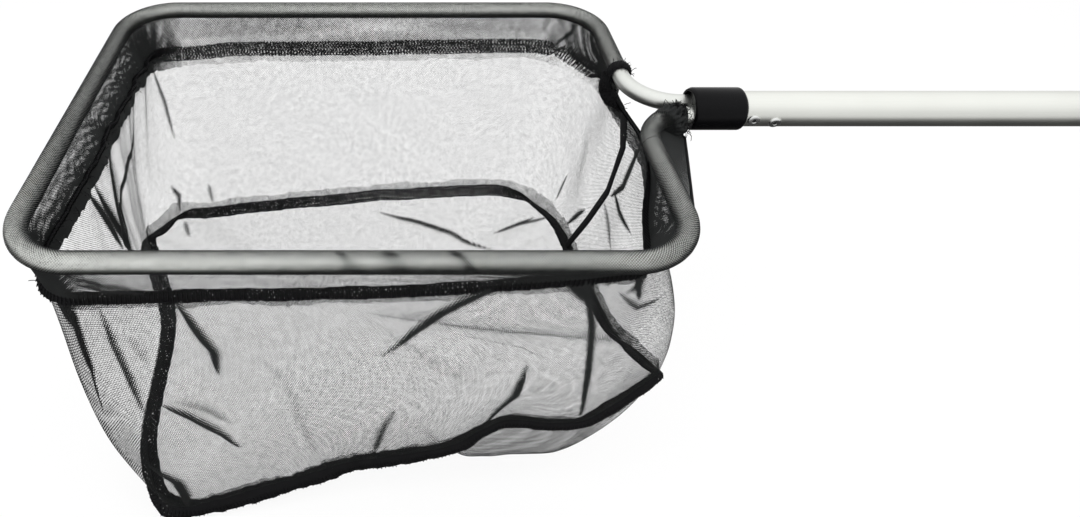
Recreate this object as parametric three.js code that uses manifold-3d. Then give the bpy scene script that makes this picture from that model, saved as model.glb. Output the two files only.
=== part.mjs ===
// Pond net: a bent-tube hoop with a mesh bag, on a telescopic aluminium handle.
// Millimetres, +Z up, +X along the handle away from the net.
// The origin is the middle of the end cap's flat rear face, and the hoop lies in the plane z = 0.
import * as THREE from 'three';
import { mergeVertices } from 'three/addons/utils/BufferGeometryUtils.js';
import Module from 'manifold-3d';

// Gap between pieces that seat on each other
const SEAT_GAP = 0.3;

// Hoop: one bent tube, measured between tube centres
const HOOP_LENGTH = 376;
const HOOP_WIDTH = 284;
const HOOP_CORNER = 38;
const HOOP_TUBE = 12;
const HOOP_WALL = 1;
const LEG_BEND = 33;
const LEG_SPACING = 13.4;
const LEG_BARE = 2;
const LEG_DEPTH = 24;

// Collar: takes the two hoop ends in front and plugs into the handle behind
const COLLAR_OD = 29;
const COLLAR_LENGTH = 35;
const COLLAR_ROUND = 3;
const SPIGOT_LENGTH = 40;
const SPIGOT_WALL = 3;

// Screws that hold the hoop ends, from below
const SCREW_SHANK = 3;
const SCREW_HEAD = 5.6;
const SCREW_HEAD_HEIGHT = 1.8;
const SCREW_BITE = 1.6;
const SCREW_FLOOR = 2.6;
const SCREW_FROM_FACE = 14;

// Handle tubes
const HANDLE_OD = 24;
const HANDLE_WALL = 1;
const HANDLE_LENGTH = 520;
const INNER_OD = 20;
const INNER_WALL = 1;
const INNER_TIP_GAP = 8;

// Blind rivets through the handle tube into the spigot, with angles below the level of the handle
const RIVET_SHANK = 4;
const RIVET_HEAD = 8.2;
const RIVET_HEAD_HEIGHT = 1.4;
const RIVET_BORE = 2.4;
const RIVET_FIRST = 4.8;
const RIVET_PITCH = 14.5;
const RIVET_ANGLES = [5, 14];

// Twist lock at the rear end of the handle tube
const LOCK_WALL = 3;
const LOCK_SOCKET = 22;
const LOCK_STEP = 2;
const LOCK_THREAD_LENGTH = 16;
const LOCK_THREAD_WALL = 3.6;
const LOCK_SEAT_DEPTH = 10;
const LOCK_SEAT_STEP = 1;
const LOCK_SEAT_FLARE = 1.4;
const COLLET_PROUD = 2.3;
const COLLET_SLIT = 2.5;
const LOCK_CHAMFER = 1;
const NUT_WALL = 3;
const NUT_END = 6.5;
const NUT_FLUTES = 12;
const NUT_FLUTE_RADIUS = 2.4;
const NUT_FLUTE_DEPTH = 1;

// Grip, guide bush and end cap on the inner tube
const GRIP_OD = 28;
const GRIP_LENGTH = 120;
const GRIP_ROUND = 2.5;
const GRIP_RINGS = 5;
const GRIP_RING_WIDTH = 4;
const GRIP_RING_DEPTH = 1;
const GUIDE_LENGTH = 10;
const PLUG_LENGTH = 16;
const PLUG_WALL = 2.5;
const CAP_THICKNESS = 4;
const CAP_CHAMFER = 1;

// Cloth thicknesses and seams of the bag
const CLOTH = 1;
const RIM_SEAM_WIDTH = 9;
const SEAM_THICKNESS = 2.6;
const FLOOR_SEAM_WIDTH = 11;
const FLOOR_SEAM_THICKNESS = 4;
const CLOSING_SEAM_WIDTH = 6;
const CLOSING_SEAM_THICKNESS = 1.4;
const CLOSING_SEAM_MARGIN = 0.03;
const BINDING_LENGTH = 8;
const BINDING_THICKNESS = 2.4;
const GATHER_BUNCH = 9;
const GATHER_SNUG = 10;
const GATHER_FROM_COLLAR = 5.5;

// How the bag hangs. Places round it are shares of the way along the hoop, from where the rear tube end
// turns out, by the rear, the left and the front, back to the handle.
// Rim seam: place, how far inside the tube it hangs, and how far below it
const RIM_KNOTS = [
  [0, -2, 22], [0.032, -4, 26], [0.076, 4, 31], [0.207, 3, 33], [0.335, 4, 31], [0.363, 10, 24],
  [0.406, 15, 19], [0.52, 15, 19], [0.555, 9, 23], [0.575, 3, 30], [0.59, 1, 30], [0.606, 0, 28],
  [0.65, 0, 26], [0.717, 0, 24], [0.797, 0, 16], [0.837, 4, 13.5], [0.865, 15, 18], [0.889, 15, 20],
  [0.936, -3, 20], [0.968, -7, 22],
];
// Bottom seam: place, shares of the hoop's half length and half width, and depth
const FLOOR_KNOTS = [
  [0, 0.872, 0.225, 147], [0.04, 0.84, 0.352, 147], [0.062, 0.798, 0.451, 148], [0.08, 0.739, 0.549, 147],
  [0.104, 0.596, 0.577, 144], [0.22, -0.016, 0.577, 152], [0.338, -0.745, 0.577, 170],
  [0.358, -0.851, 0.535, 168], [0.384, -0.92, 0.401, 167], [0.41, -0.965, 0.275, 164], [0.44, -0.9, 0.08, 166],
  [0.486, -0.8, -0.26, 180], [0.55, -0.793, -0.859, 202], [0.563, -0.745, -1.042, 202],
  [0.578, -0.68, -1.155, 210], [0.606, -0.505, -1.162, 208], [0.645, -0.255, -1.12, 194],
  [0.685, -0.027, -1.07, 182], [0.725, 0.191, -1.07, 170], [0.752, 0.335, -1.07, 159], [0.772, 0.426, -1.056, 145],
  [0.79, 0.516, -1.035, 140], [0.833, 0.761, -1.028, 142], [0.848, 0.878, -1, 126], [0.862, 0.984, -0.979, 103],
  [0.875, 0.973, -0.915, 106], [0.889, 0.936, -0.789, 111], [0.912, 0.926, -0.599, 128],
  [0.936, 0.915, -0.366, 138], [0.968, 0.899, -0.056, 146],
];
// Wall: place, how far it bellies out, and how low: above 1 for low
const BELLY_KNOTS = [
  [0, 0, 1.3], [0.08, 4, 1.3], [0.207, 6, 1.3], [0.335, 4, 1.3], [0.414, 4, 1.3], [0.494, 8, 1.3],
  [0.558, 9, 1.3], [0.586, 10, 1.3], [0.638, 9, 1.3], [0.717, 12, 1.3], [0.797, 12, 1.3], [0.845, 11, 1.1],
  [0.869, 13, 0.65], [0.889, 12, 0.6], [0.912, 7, 0.7], [0.94, 0, 1.1], [0.97, 0, 1.3],
];
// Bottom panel: place, and how far it bulges below its seam
const BULGE_KNOTS = [
  [0, 0], [0.3, 0], [0.6, 0], [0.71, 0], [0.735, 0], [0.755, 13], [0.772, 27], [0.79, 33], [0.812, 30],
  [0.833, 29], [0.848, 31], [0.862, 27], [0.88, 10], [0.895, 0], [0.92, 0],
];
// Its middle as shares and depth, how far it sags there, the share of the way out where the bulge starts,
// and the share of the bulge that goes forward
const FLOOR_MIDDLE = [0.01, -0.22, 158];
const FLOOR_SAG = 14;
const BULGE_FROM = 0.66;
const BULGE_FORWARD = 0.5;

// Facets
const ROUND_SIDES = 24;
const TUBE_SIDES = 12;
const BEND_STEPS = 6;
const LEG_STEPS = 10;
const RUN_SPAN = 34;
const WALL_ROWS = 5;
const SECTION_SIDES = 6;
const FLUTE_SIDES = 10;
const FLOOR_RINGS = [0, 0.35, 0.66, 0.74, 0.83, 0.92, 1];

// Places along the handle, measured from the middle of the hoop
const HOOP_SIDE = HOOP_LENGTH / 2;
const HOOP_FRONT = HOOP_WIDTH / 2;
const LEG_OFFSET = LEG_SPACING / 2;
const GAP_END = LEG_OFFSET + LEG_BEND;
const COLLAR_FACE = HOOP_SIDE + LEG_BEND + LEG_BARE;
const COLLAR_REAR = COLLAR_FACE + COLLAR_LENGTH;
const HANDLE_FRONT = COLLAR_REAR + SEAT_GAP;
const HANDLE_REAR = HANDLE_FRONT + HANDLE_LENGTH;
const SPIGOT_REAR = COLLAR_REAR + SPIGOT_LENGTH;
const LOCK_SHOULDER = HANDLE_REAR + SEAT_GAP;
const THREAD_START = LOCK_SHOULDER + LOCK_STEP;
const THREAD_REAR = THREAD_START + LOCK_THREAD_LENGTH;
const NUT_WALL_FACE = THREAD_REAR + COLLET_PROUD + SEAT_GAP;
const NUT_REAR = NUT_WALL_FACE + NUT_END;
const GUIDE_FRONT = SPIGOT_REAR + INNER_TIP_GAP;
const INNER_FRONT = GUIDE_FRONT + GUIDE_LENGTH + SEAT_GAP;
const GRIP_FRONT = NUT_REAR + SEAT_GAP;
const GRIP_REAR = GRIP_FRONT + GRIP_LENGTH;
const CAP_FACE = GRIP_REAR + SEAT_GAP;
const HANDLE_END = CAP_FACE + CAP_THICKNESS;

// Radii that fit each other
const HOOP_RADIUS = HOOP_TUBE / 2;
const HANDLE_RADIUS = HANDLE_OD / 2;
const HANDLE_BORE = HANDLE_RADIUS - HANDLE_WALL;
const INNER_RADIUS = INNER_OD / 2;
const INNER_BORE = INNER_RADIUS - INNER_WALL;
const SPIGOT_RADIUS = HANDLE_BORE - SEAT_GAP;
const RUNNING_BORE = INNER_RADIUS + SEAT_GAP;
const LOCK_RADIUS = HANDLE_RADIUS + SEAT_GAP + LOCK_WALL;
const THREAD_RADIUS = RUNNING_BORE + LOCK_THREAD_WALL;
const NUT_BORE = THREAD_RADIUS + SEAT_GAP;
const NUT_RADIUS = NUT_BORE + NUT_WALL;

const wasm = await Module();
wasm.setup();

const ALUMINIUM = { color: 0xd5d8d3, roughness: 0.35, metalness: 1 };
const SATIN_ALUMINIUM = { color: 0xcfd1c9, roughness: 0.42, metalness: 1 };
const RIVET_METAL = { color: 0xc9cbc8, roughness: 0.3, metalness: 1 };
const STEEL = { color: 0x9c9fa2, roughness: 0.35, metalness: 1 };
const BLACK_PLASTIC = { color: 0x161616, roughness: 0.35, metalness: 0 };
const BLACK_RUBBER = { color: 0x1c1c1c, roughness: 0.8, metalness: 0 };
const BLACK_MESH = { color: 0x1d1f1e, roughness: 0.9, metalness: 0 };
const BLACK_THREAD = { color: 0x121313, roughness: 0.9, metalness: 0 };

// Keeps only positions, joins equal vertices and turns the faces outwards.
function tidy(geometry) {
  geometry.deleteAttribute('normal');
  geometry.deleteAttribute('uv');
  const merged = mergeVertices(geometry, 1e-4);
  const { array } = merged.index;
  const kept = [];
  for (let i = 0; i < array.length; i += 3) {
    const [a, b, c] = [array[i], array[i + 1], array[i + 2]];
    if (a !== b && b !== c && c !== a) kept.push(a, b, c);
  }
  if (signedVolume(merged.getAttribute('position'), kept) < 0) kept.reverse();
  merged.setIndex(kept);
  return merged;
}

function signedVolume(position, index) {
  const [a, b, c] = [new THREE.Vector3(), new THREE.Vector3(), new THREE.Vector3()];
  let volume = 0;
  for (let i = 0; i < index.length; i += 3) {
    a.fromBufferAttribute(position, index[i]);
    b.fromBufferAttribute(position, index[i + 1]);
    c.fromBufferAttribute(position, index[i + 2]);
    volume += a.dot(b.cross(c)) / 6;
  }
  return volume;
}

function solidOf(geometry) {
  const { index, attributes } = tidy(geometry);
  return new wasm.Manifold(new wasm.Mesh({
    numProp: 3,
    vertProperties: new Float32Array(attributes.position.array),
    triVerts: new Uint32Array(index.array),
  }));
}

function cut(geometry, tools) {
  let solid = solidOf(geometry);
  for (const tool of tools) solid = solid.subtract(solidOf(tool));
  const { vertProperties, triVerts } = solid.getMesh();
  const result = new THREE.BufferGeometry();
  result.setAttribute('position', new THREE.BufferAttribute(new Float32Array(vertProperties), 3));
  result.setIndex(Array.from(triVerts));
  return result;
}

// A round piece about the handle's axis, from [place along the axis, radius] pairs of a closed outline
function turned(outline, sides = ROUND_SIDES) {
  const points = outline.map(([along, radius]) => new THREE.Vector2(radius, along));
  const geometry = new THREE.LatheGeometry([...points, points[0].clone()], sides);
  return tidy(geometry.rotateZ(-Math.PI / 2));
}

// A quarter round on a turned outline, from one angle to another about its centre
function rounded(along, radius, size, fromDegrees, toDegrees, steps = 2) {
  const points = [];
  for (let i = 0; i <= steps; i += 1) {
    const angle = THREE.MathUtils.degToRad(fromDegrees + ((toDegrees - fromDegrees) * i) / steps);
    points.push([along + size * Math.cos(angle), radius + size * Math.sin(angle)]);
  }
  return points;
}

function tube(from, to, radius, bore) {
  return turned([[from, radius], [to, radius], [to, bore], [from, bore]]);
}

// A cylinder along a direction, from one point to another
function rod(from, to, radius, sides = TUBE_SIDES) {
  const along = new THREE.Vector3().subVectors(to, from);
  const geometry = new THREE.CylinderGeometry(radius, radius, along.length(), sides);
  const turn = new THREE.Quaternion().setFromUnitVectors(new THREE.Vector3(0, 1, 0), along.clone().normalize());
  geometry.applyQuaternion(turn);
  const middle = from.clone().addScaledVector(along, 0.5);
  return geometry.translate(middle.x, middle.y, middle.z);
}

// Skins a grid of points whose columns close on themselves. The rows close too,
// or else the first and the last row are single points.
function skin(rows, rowsClose = true) {
  const columns = rows[0].length;
  const positions = rows.flatMap((row) => row.flatMap((point) => point.toArray()));
  const index = [];
  const last = rowsClose ? rows.length : rows.length - 1;
  for (let r = 0; r < last; r += 1) {
    for (let c = 0; c < columns; c += 1) {
      const here = r * columns;
      const next = ((r + 1) % rows.length) * columns;
      const side = (c + 1) % columns;
      index.push(here + c, here + side, next + c);
      index.push(here + side, next + side, next + c);
    }
  }
  const geometry = new THREE.BufferGeometry();
  geometry.setAttribute('position', new THREE.Float32BufferAttribute(positions, 3));
  geometry.setIndex(index);
  return tidy(geometry);
}

// The arc that rounds a corner, starting and ending one cut length from it
function cornerArc(before, corner, after, cutLength, steps = BEND_STEPS) {
  const toBefore = new THREE.Vector3().subVectors(before, corner).normalize();
  const toAfter = new THREE.Vector3().subVectors(after, corner).normalize();
  const half = toBefore.angleTo(toAfter) / 2;
  const radius = cutLength * Math.tan(half);
  const inward = toBefore.clone().add(toAfter).normalize();
  const sideways = toAfter.clone().sub(toBefore).normalize();
  const centre = corner.clone().addScaledVector(inward, cutLength / Math.cos(half));
  const sweep = Math.PI / 2 - half;
  const points = [];
  for (let i = 0; i <= steps; i += 1) {
    const angle = sweep * ((2 * i) / steps - 1);
    const point = centre.clone().addScaledVector(inward, -radius * Math.cos(angle));
    points.push(point.addScaledVector(sideways, radius * Math.sin(angle)));
  }
  return points;
}

// The centre line of a bent tube: straight runs, with the samples gathered in the bends
class BentPath extends THREE.Curve {
  constructor(corners, bends) {
    super();
    this.samples = [{ point: corners[0], tangent: corners[1].clone().sub(corners[0]).normalize() }];
    bends.forEach(({ radius, steps }, i) => {
      const [before, corner, after] = corners.slice(i, i + 3);
      const from = corner.clone().sub(before).normalize();
      const to = after.clone().sub(corner).normalize();
      cornerArc(before, corner, after, radius, steps).forEach((point, step) => {
        const angle = (Math.PI / 2) * (step / steps);
        const tangent = from.clone().multiplyScalar(Math.cos(angle)).addScaledVector(to, Math.sin(angle));
        this.samples.push({ point, tangent });
      });
    });
    this.samples.push({ point: corners.at(-1), tangent: this.samples.at(-1).tangent });
  }

  get steps() {
    return this.samples.length - 1;
  }

  getPointAt(t) {
    return this.samples[Math.round(t * this.steps)].point.clone();
  }

  getTangentAt(t) {
    return this.samples[Math.round(t * this.steps)].tangent.clone();
  }
}

function ringShape(radius, bore, sides) {
  const shape = new THREE.Shape();
  const hole = new THREE.Path();
  for (let i = 0; i < sides; i += 1) {
    const angle = (2 * Math.PI * i) / sides;
    const place = i === 0 ? 'moveTo' : 'lineTo';
    shape[place](radius * Math.cos(angle), radius * Math.sin(angle));
    hole[place](bore * Math.cos(angle), bore * Math.sin(angle));
  }
  shape.closePath();
  hole.closePath();
  shape.holes.push(hole);
  return shape;
}

// Where the leg screws stand, and the drill that clears a screw's shank
const SCREW_X = COLLAR_FACE + SCREW_FROM_FACE;
const SOCKET_RADIUS = HOOP_RADIUS + SEAT_GAP;
const SCREW_SEAT = -(SOCKET_RADIUS + SCREW_FLOOR);
const SCREW_TIP = -(HOOP_RADIUS - HOOP_WALL - SCREW_BITE);

function screwDrill(side) {
  const y = side * LEG_OFFSET;
  const below = new THREE.Vector3(SCREW_X, y, -COLLAR_OD);
  return rod(below, new THREE.Vector3(SCREW_X, y, 0), SCREW_SHANK / 2 + SEAT_GAP);
}

function hoopTube() {
  const legEnd = COLLAR_FACE + LEG_DEPTH;
  const corners = [
    [legEnd, -LEG_OFFSET], [HOOP_SIDE, -LEG_OFFSET],
    [HOOP_SIDE, -HOOP_FRONT], [-HOOP_SIDE, -HOOP_FRONT],
    [-HOOP_SIDE, HOOP_FRONT], [HOOP_SIDE, HOOP_FRONT],
    [HOOP_SIDE, LEG_OFFSET], [legEnd, LEG_OFFSET],
  ].map(([x, y]) => new THREE.Vector3(x, y, 0));
  const leg = { radius: LEG_BEND, steps: LEG_STEPS };
  const turn = { radius: HOOP_CORNER, steps: BEND_STEPS };
  const path = new BentPath(corners, [leg, turn, turn, turn, turn, leg]);
  const section = ringShape(HOOP_RADIUS, HOOP_RADIUS - HOOP_WALL, TUBE_SIDES);
  const geometry = new THREE.ExtrudeGeometry(section, { steps: path.steps, extrudePath: path });
  return cut(geometry, [screwDrill(1), screwDrill(-1)]);
}

function collar() {
  const radius = COLLAR_OD / 2;
  const bore = SPIGOT_RADIUS - SPIGOT_WALL;
  const socketEnd = COLLAR_FACE + LEG_DEPTH + SEAT_GAP;
  const round = COLLAR_ROUND;
  const body = turned([
    [COLLAR_FACE, 0],
    ...rounded(COLLAR_FACE + round, radius - round, round, 180, 90),
    ...rounded(COLLAR_REAR - round, radius - round, round, 90, 0),
    [COLLAR_REAR, SPIGOT_RADIUS],
    [SPIGOT_REAR, SPIGOT_RADIUS],
    [SPIGOT_REAR, bore],
    [COLLAR_REAR, bore],
    [COLLAR_REAR, 0],
  ]);
  const tools = [];
  for (const side of [1, -1]) {
    const y = side * LEG_OFFSET;
    const mouth = new THREE.Vector3(COLLAR_FACE - round, y, 0);
    tools.push(rod(mouth, new THREE.Vector3(socketEnd, y, 0), SOCKET_RADIUS, 2 * TUBE_SIDES));
    tools.push(screwDrill(side));
    const seat = new THREE.Vector3(SCREW_X, y, SCREW_SEAT);
    tools.push(rod(new THREE.Vector3(SCREW_X, y, -COLLAR_OD), seat, SCREW_HEAD / 2 + SEAT_GAP));
  }
  return cut(body, [...tools, ...RIVET_ANGLES.map((angle, i) => rivetDrill(i))]);
}

function legScrew(side) {
  const head = SCREW_HEAD / 2;
  const shank = SCREW_SHANK / 2;
  const seat = SCREW_SEAT - SEAT_GAP;
  const under = seat - SCREW_HEAD_HEIGHT;
  const geometry = turned([
    [under, 0], [under, head - shank / 2], [under + shank / 2, head], [seat, head],
    [seat, shank], [SCREW_TIP - shank, shank], [SCREW_TIP, 0],
  ], TUBE_SIDES);
  return geometry.rotateY(-Math.PI / 2).translate(SCREW_X, side * LEG_OFFSET, 0);
}

// A rivet's place: the point on the handle's axis below it, and the direction out through it
function rivetAxis(i) {
  const angle = THREE.MathUtils.degToRad(RIVET_ANGLES[i]);
  const foot = new THREE.Vector3(HANDLE_FRONT + RIVET_FIRST + i * RIVET_PITCH, 0, 0);
  return { foot, out: new THREE.Vector3(0, -Math.cos(angle), -Math.sin(angle)) };
}

function rivetDrill(i) {
  const { foot, out } = rivetAxis(i);
  return rod(foot, foot.clone().addScaledVector(out, HANDLE_OD), RIVET_SHANK / 2 + SEAT_GAP);
}

function rivet(i) {
  const { foot, out } = rivetAxis(i);
  const [shank, head, bore] = [RIVET_SHANK / 2, RIVET_HEAD / 2, RIVET_BORE / 2];
  const seat = HANDLE_RADIUS + SEAT_GAP;
  const top = seat + RIVET_HEAD_HEIGHT;
  const tail = SPIGOT_RADIUS - SPIGOT_WALL;
  const edge = RIVET_HEAD_HEIGHT / 2;
  const geometry = turned([
    [tail, shank], [seat, shank], [seat, head], [seat + edge, head],
    [top, head - edge], [top, bore], [tail, bore],
  ], 2 * TUBE_SIDES);
  const turn = new THREE.Quaternion().setFromUnitVectors(new THREE.Vector3(1, 0, 0), out);
  return geometry.applyQuaternion(turn).translate(foot.x, foot.y, foot.z);
}

function handleTube() {
  const geometry = tube(HANDLE_FRONT, HANDLE_REAR, HANDLE_RADIUS, HANDLE_BORE);
  return cut(geometry, RIVET_ANGLES.map((angle, i) => rivetDrill(i)));
}

// The cone inside the lock bush that closes the collet, as radii at its front and its mouth
const SEAT_FRONT = THREAD_REAR - LOCK_SEAT_DEPTH;
const SEAT_SMALL = RUNNING_BORE + LOCK_SEAT_STEP;
const SEAT_LARGE = SEAT_SMALL + LOCK_SEAT_FLARE;

function lockBush() {
  const socket = HANDLE_RADIUS + SEAT_GAP;
  const front = LOCK_SHOULDER - LOCK_SOCKET;
  return turned([
    [front, socket], [front, LOCK_RADIUS - LOCK_CHAMFER], [front + LOCK_CHAMFER, LOCK_RADIUS],
    [THREAD_START, LOCK_RADIUS], [THREAD_START, THREAD_RADIUS], [THREAD_REAR, THREAD_RADIUS],
    [THREAD_REAR, SEAT_LARGE], [SEAT_FRONT, SEAT_SMALL], [SEAT_FRONT, RUNNING_BORE],
    [LOCK_SHOULDER, RUNNING_BORE], [LOCK_SHOULDER, socket],
  ]);
}

function lockCollet() {
  const rear = THREAD_REAR + COLLET_PROUD;
  const front = SEAT_FRONT + SEAT_GAP;
  const ring = turned([
    [front, RUNNING_BORE], [front, SEAT_SMALL - SEAT_GAP],
    [THREAD_REAR, SEAT_LARGE - SEAT_GAP], [rear, SEAT_LARGE - SEAT_GAP], [rear, RUNNING_BORE],
  ]);
  const slit = new THREE.BoxGeometry(2 * LOCK_THREAD_LENGTH, COLLET_SLIT, LOCK_RADIUS);
  slit.translate((front + rear) / 2, 0, LOCK_RADIUS / 2);
  return cut(ring, [slit]);
}

function lockNut() {
  const front = THREAD_START + SEAT_GAP;
  const edge = NUT_FLUTE_DEPTH;
  const body = turned([
    [front, NUT_BORE], [front, NUT_RADIUS - edge], [front + edge, NUT_RADIUS],
    [NUT_REAR - edge, NUT_RADIUS], [NUT_REAR, NUT_RADIUS - edge],
    [NUT_REAR, RUNNING_BORE], [NUT_WALL_FACE, RUNNING_BORE], [NUT_WALL_FACE, NUT_BORE],
  ]);
  const flutes = [];
  for (let i = 0; i < NUT_FLUTES; i += 1) {
    const angle = (2 * Math.PI * (i + 0.5)) / NUT_FLUTES;
    const reach = NUT_RADIUS + NUT_FLUTE_RADIUS - NUT_FLUTE_DEPTH;
    const [y, z] = [reach * Math.cos(angle), reach * Math.sin(angle)];
    const start = new THREE.Vector3(front - edge, y, z);
    flutes.push(rod(start, new THREE.Vector3(NUT_REAR + edge, y, z), NUT_FLUTE_RADIUS, FLUTE_SIDES));
  }
  return cut(body, flutes);
}

function innerTube() {
  return tube(INNER_FRONT, GRIP_REAR, INNER_RADIUS, INNER_BORE);
}

function guideBush() {
  const flange = HANDLE_BORE - SEAT_GAP;
  const plug = INNER_BORE - SEAT_GAP;
  const rear = GUIDE_FRONT + GUIDE_LENGTH;
  return turned([
    [GUIDE_FRONT, plug - PLUG_WALL], [GUIDE_FRONT, flange - CAP_CHAMFER], [GUIDE_FRONT + CAP_CHAMFER, flange],
    [rear, flange],
    [rear, plug], [rear + PLUG_LENGTH, plug], [rear + PLUG_LENGTH, plug - PLUG_WALL],
  ]);
}

function grip() {
  const radius = GRIP_OD / 2;
  const pitch = (GRIP_LENGTH - 2 * GRIP_ROUND) / (GRIP_RINGS + 1);
  const outline = [[GRIP_FRONT, RUNNING_BORE]];
  outline.push(...rounded(GRIP_FRONT + GRIP_ROUND, radius - GRIP_ROUND, GRIP_ROUND, 180, 90));
  for (let i = 1; i <= GRIP_RINGS; i += 1) {
    const middle = GRIP_FRONT + GRIP_ROUND + i * pitch;
    outline.push([middle - GRIP_RING_WIDTH / 2, radius]);
    outline.push([middle, radius - GRIP_RING_DEPTH]);
    outline.push([middle + GRIP_RING_WIDTH / 2, radius]);
  }
  outline.push(...rounded(GRIP_REAR - GRIP_ROUND, radius - GRIP_ROUND, GRIP_ROUND, 90, 0));
  outline.push([GRIP_REAR, RUNNING_BORE]);
  return turned(outline);
}

function endCap() {
  const plug = INNER_BORE - SEAT_GAP;
  const radius = GRIP_OD / 2 - GRIP_ROUND / 2;
  const front = CAP_FACE - PLUG_LENGTH;
  return turned([
    [front, plug - PLUG_WALL], [front, plug], [CAP_FACE, plug], [CAP_FACE, radius],
    [HANDLE_END - CAP_CHAMFER, radius], [HANDLE_END, radius - CAP_CHAMFER], [HANDLE_END, 0], [CAP_FACE, 0],
    [CAP_FACE, plug - PLUG_WALL],
  ]);
}

// Points of the hoop's centre line, from the rear tube end round to the front one and back between them
function hoopLoop() {
  const corner = (signX, signY) => new THREE.Vector3(signX * HOOP_SIDE, signY * HOOP_FRONT, 0);
  const gapRear = new THREE.Vector3(HOOP_SIDE, GAP_END, 0);
  const gapFront = new THREE.Vector3(HOOP_SIDE, -GAP_END, 0);
  const ring = [gapRear, corner(1, 1), corner(-1, 1), corner(-1, -1), corner(1, -1), gapFront];
  const points = [gapRear];
  const run = (from, to) => {
    const steps = 2 * Math.ceil(from.distanceTo(to) / (2 * RUN_SPAN));
    for (let i = 1; i < steps; i += 1) points.push(from.clone().lerp(to, i / steps));
    return steps;
  };
  for (let i = 1; i <= 4; i += 1) {
    const arc = cornerArc(ring[i - 1], ring[i], ring[i + 1], HOOP_CORNER);
    run(points.at(-1), arc[0]);
    points.push(...arc);
  }
  run(points.at(-1), gapFront);
  points.push(gapFront);
  const gapStart = points.length - 1;
  const gapSteps = run(gapFront, gapRear);
  return { points, gapStart, gapMiddle: gapStart + gapSteps / 2 };
}

const HOOP_LOOP = hoopLoop();

// The direction along the hoop at a point of its centre line
function hoopTangent({ x, y }) {
  const inX = Math.max(Math.abs(x) - (HOOP_SIDE - HOOP_CORNER), 0) * Math.sign(x);
  const inY = Math.max(Math.abs(y) - (HOOP_FRONT - HOOP_CORNER), 0) * Math.sign(y);
  return new THREE.Vector3(-inY, inX, 0).normalize();
}

// A smooth closed curve through rows of a place and the values there, read at one place from 0 to 1
function roundSpline(knots, place) {
  const count = knots.length;
  const here = knots.findLastIndex(([at]) => at <= place);
  const knot = (offset) => {
    const item = (here + offset + count) % count;
    const [at, ...values] = knots[item];
    return { at: at + Math.floor((here + offset) / count), values };
  };
  const [before, from, to, after] = [knot(-1), knot(0), knot(1), knot(2)];
  const span = to.at - from.at;
  const t = (place - from.at) / span;
  return from.values.map((start, i) => {
    const end = to.values[i];
    const leave = ((end - before.values[i]) / (to.at - before.at)) * span;
    const arrive = ((after.values[i] - start) / (after.at - from.at)) * span;
    return (2 * t ** 3 - 3 * t ** 2 + 1) * start + (t ** 3 - 2 * t ** 2 + t) * leave
      + (3 * t ** 2 - 2 * t ** 3) * end + (t ** 3 - t ** 2) * arrive;
  });
}

// A point of the bottom panel from shares of the hoop's half length and half width, and a depth
function floorPoint([shareX, shareY, depth]) {
  return new THREE.Vector3(shareX * HOOP_SIDE, shareY * HOOP_FRONT, -depth);
}

const RIM_SEAM_REACH = RIM_SEAM_WIDTH / 2 + SEAT_GAP;
const FLOOR_SEAM_REACH = FLOOR_SEAM_WIDTH / 2 + SEAT_GAP;

// Shares of the way round the hoop of the points of its loop
function placesRound({ points }) {
  const lengths = points.map((point, i) => point.distanceTo(points[(i + 1) % points.length]));
  const girth = lengths.reduce((sum, length) => sum + length, 0);
  let done = 0;
  return lengths.map((length) => {
    const place = done / girth;
    done += length;
    return place;
  });
}

// The direction along a closed row of points at one of them
function alongRow(points, i) {
  const count = points.length;
  return new THREE.Vector3().subVectors(points[(i + 1) % count], points[(i + count - 1) % count]).normalize();
}

// The hanging lines of the bag: each goes from the hoop to the rim seam and on to the bottom seam
function hangingLines() {
  const { points } = HOOP_LOOP;
  const places = placesRound(HOOP_LOOP);
  const up = new THREE.Vector3(0, 0, 1);
  const skirts = points.map((top, i) => {
    const [inside, below] = roundSpline(RIM_KNOTS, places[i]);
    const inward = new THREE.Vector3().crossVectors(up, hoopTangent(top));
    return inward.multiplyScalar(inside).addScaledVector(up, -below);
  });
  const rims = points.map((top, i) => top.clone().add(skirts[i]));
  return points.map((top, i) => {
    const rim = rims[i];
    const bottom = floorPoint(roundSpline(FLOOR_KNOTS, places[i]));
    const drop = new THREE.Vector3().subVectors(bottom, rim);
    const [skirtLength, length] = [skirts[i].length(), drop.length()];
    const [skirtDown, down] = [skirts[i].normalize(), drop.normalize()];
    const out = (direction) => new THREE.Vector3().crossVectors(direction, hoopTangent(top)).normalize();
    const wallTop = RIM_SEAM_REACH / Math.sqrt(1 - down.dot(alongRow(rims, i)) ** 2);
    const [belly, bellyLow] = roundSpline(BELLY_KNOTS, places[i]);
    const bulge = Math.max(0, roundSpline(BULGE_KNOTS, places[i])[0]);
    return {
      top, rim, bottom, skirtDown, skirtLength, skirtOut: out(skirtDown), down, out: out(down),
      wallTop, wallSpan: length - FLOOR_SEAM_REACH - wallTop, belly, bellyLow, bulge,
    };
  });
}

const HANGS = hangingLines();

// A point of the wall on a hanging line, by the share of the way down between its two seams,
// and some way out of its middle surface
function wallPoint(hang, share, outward) {
  const swell = hang.belly * Math.sin(Math.PI * share ** hang.bellyLow);
  const point = hang.rim.clone().addScaledVector(hang.down, hang.wallTop + hang.wallSpan * share);
  return point.addScaledVector(hang.out, swell + outward);
}

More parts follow.
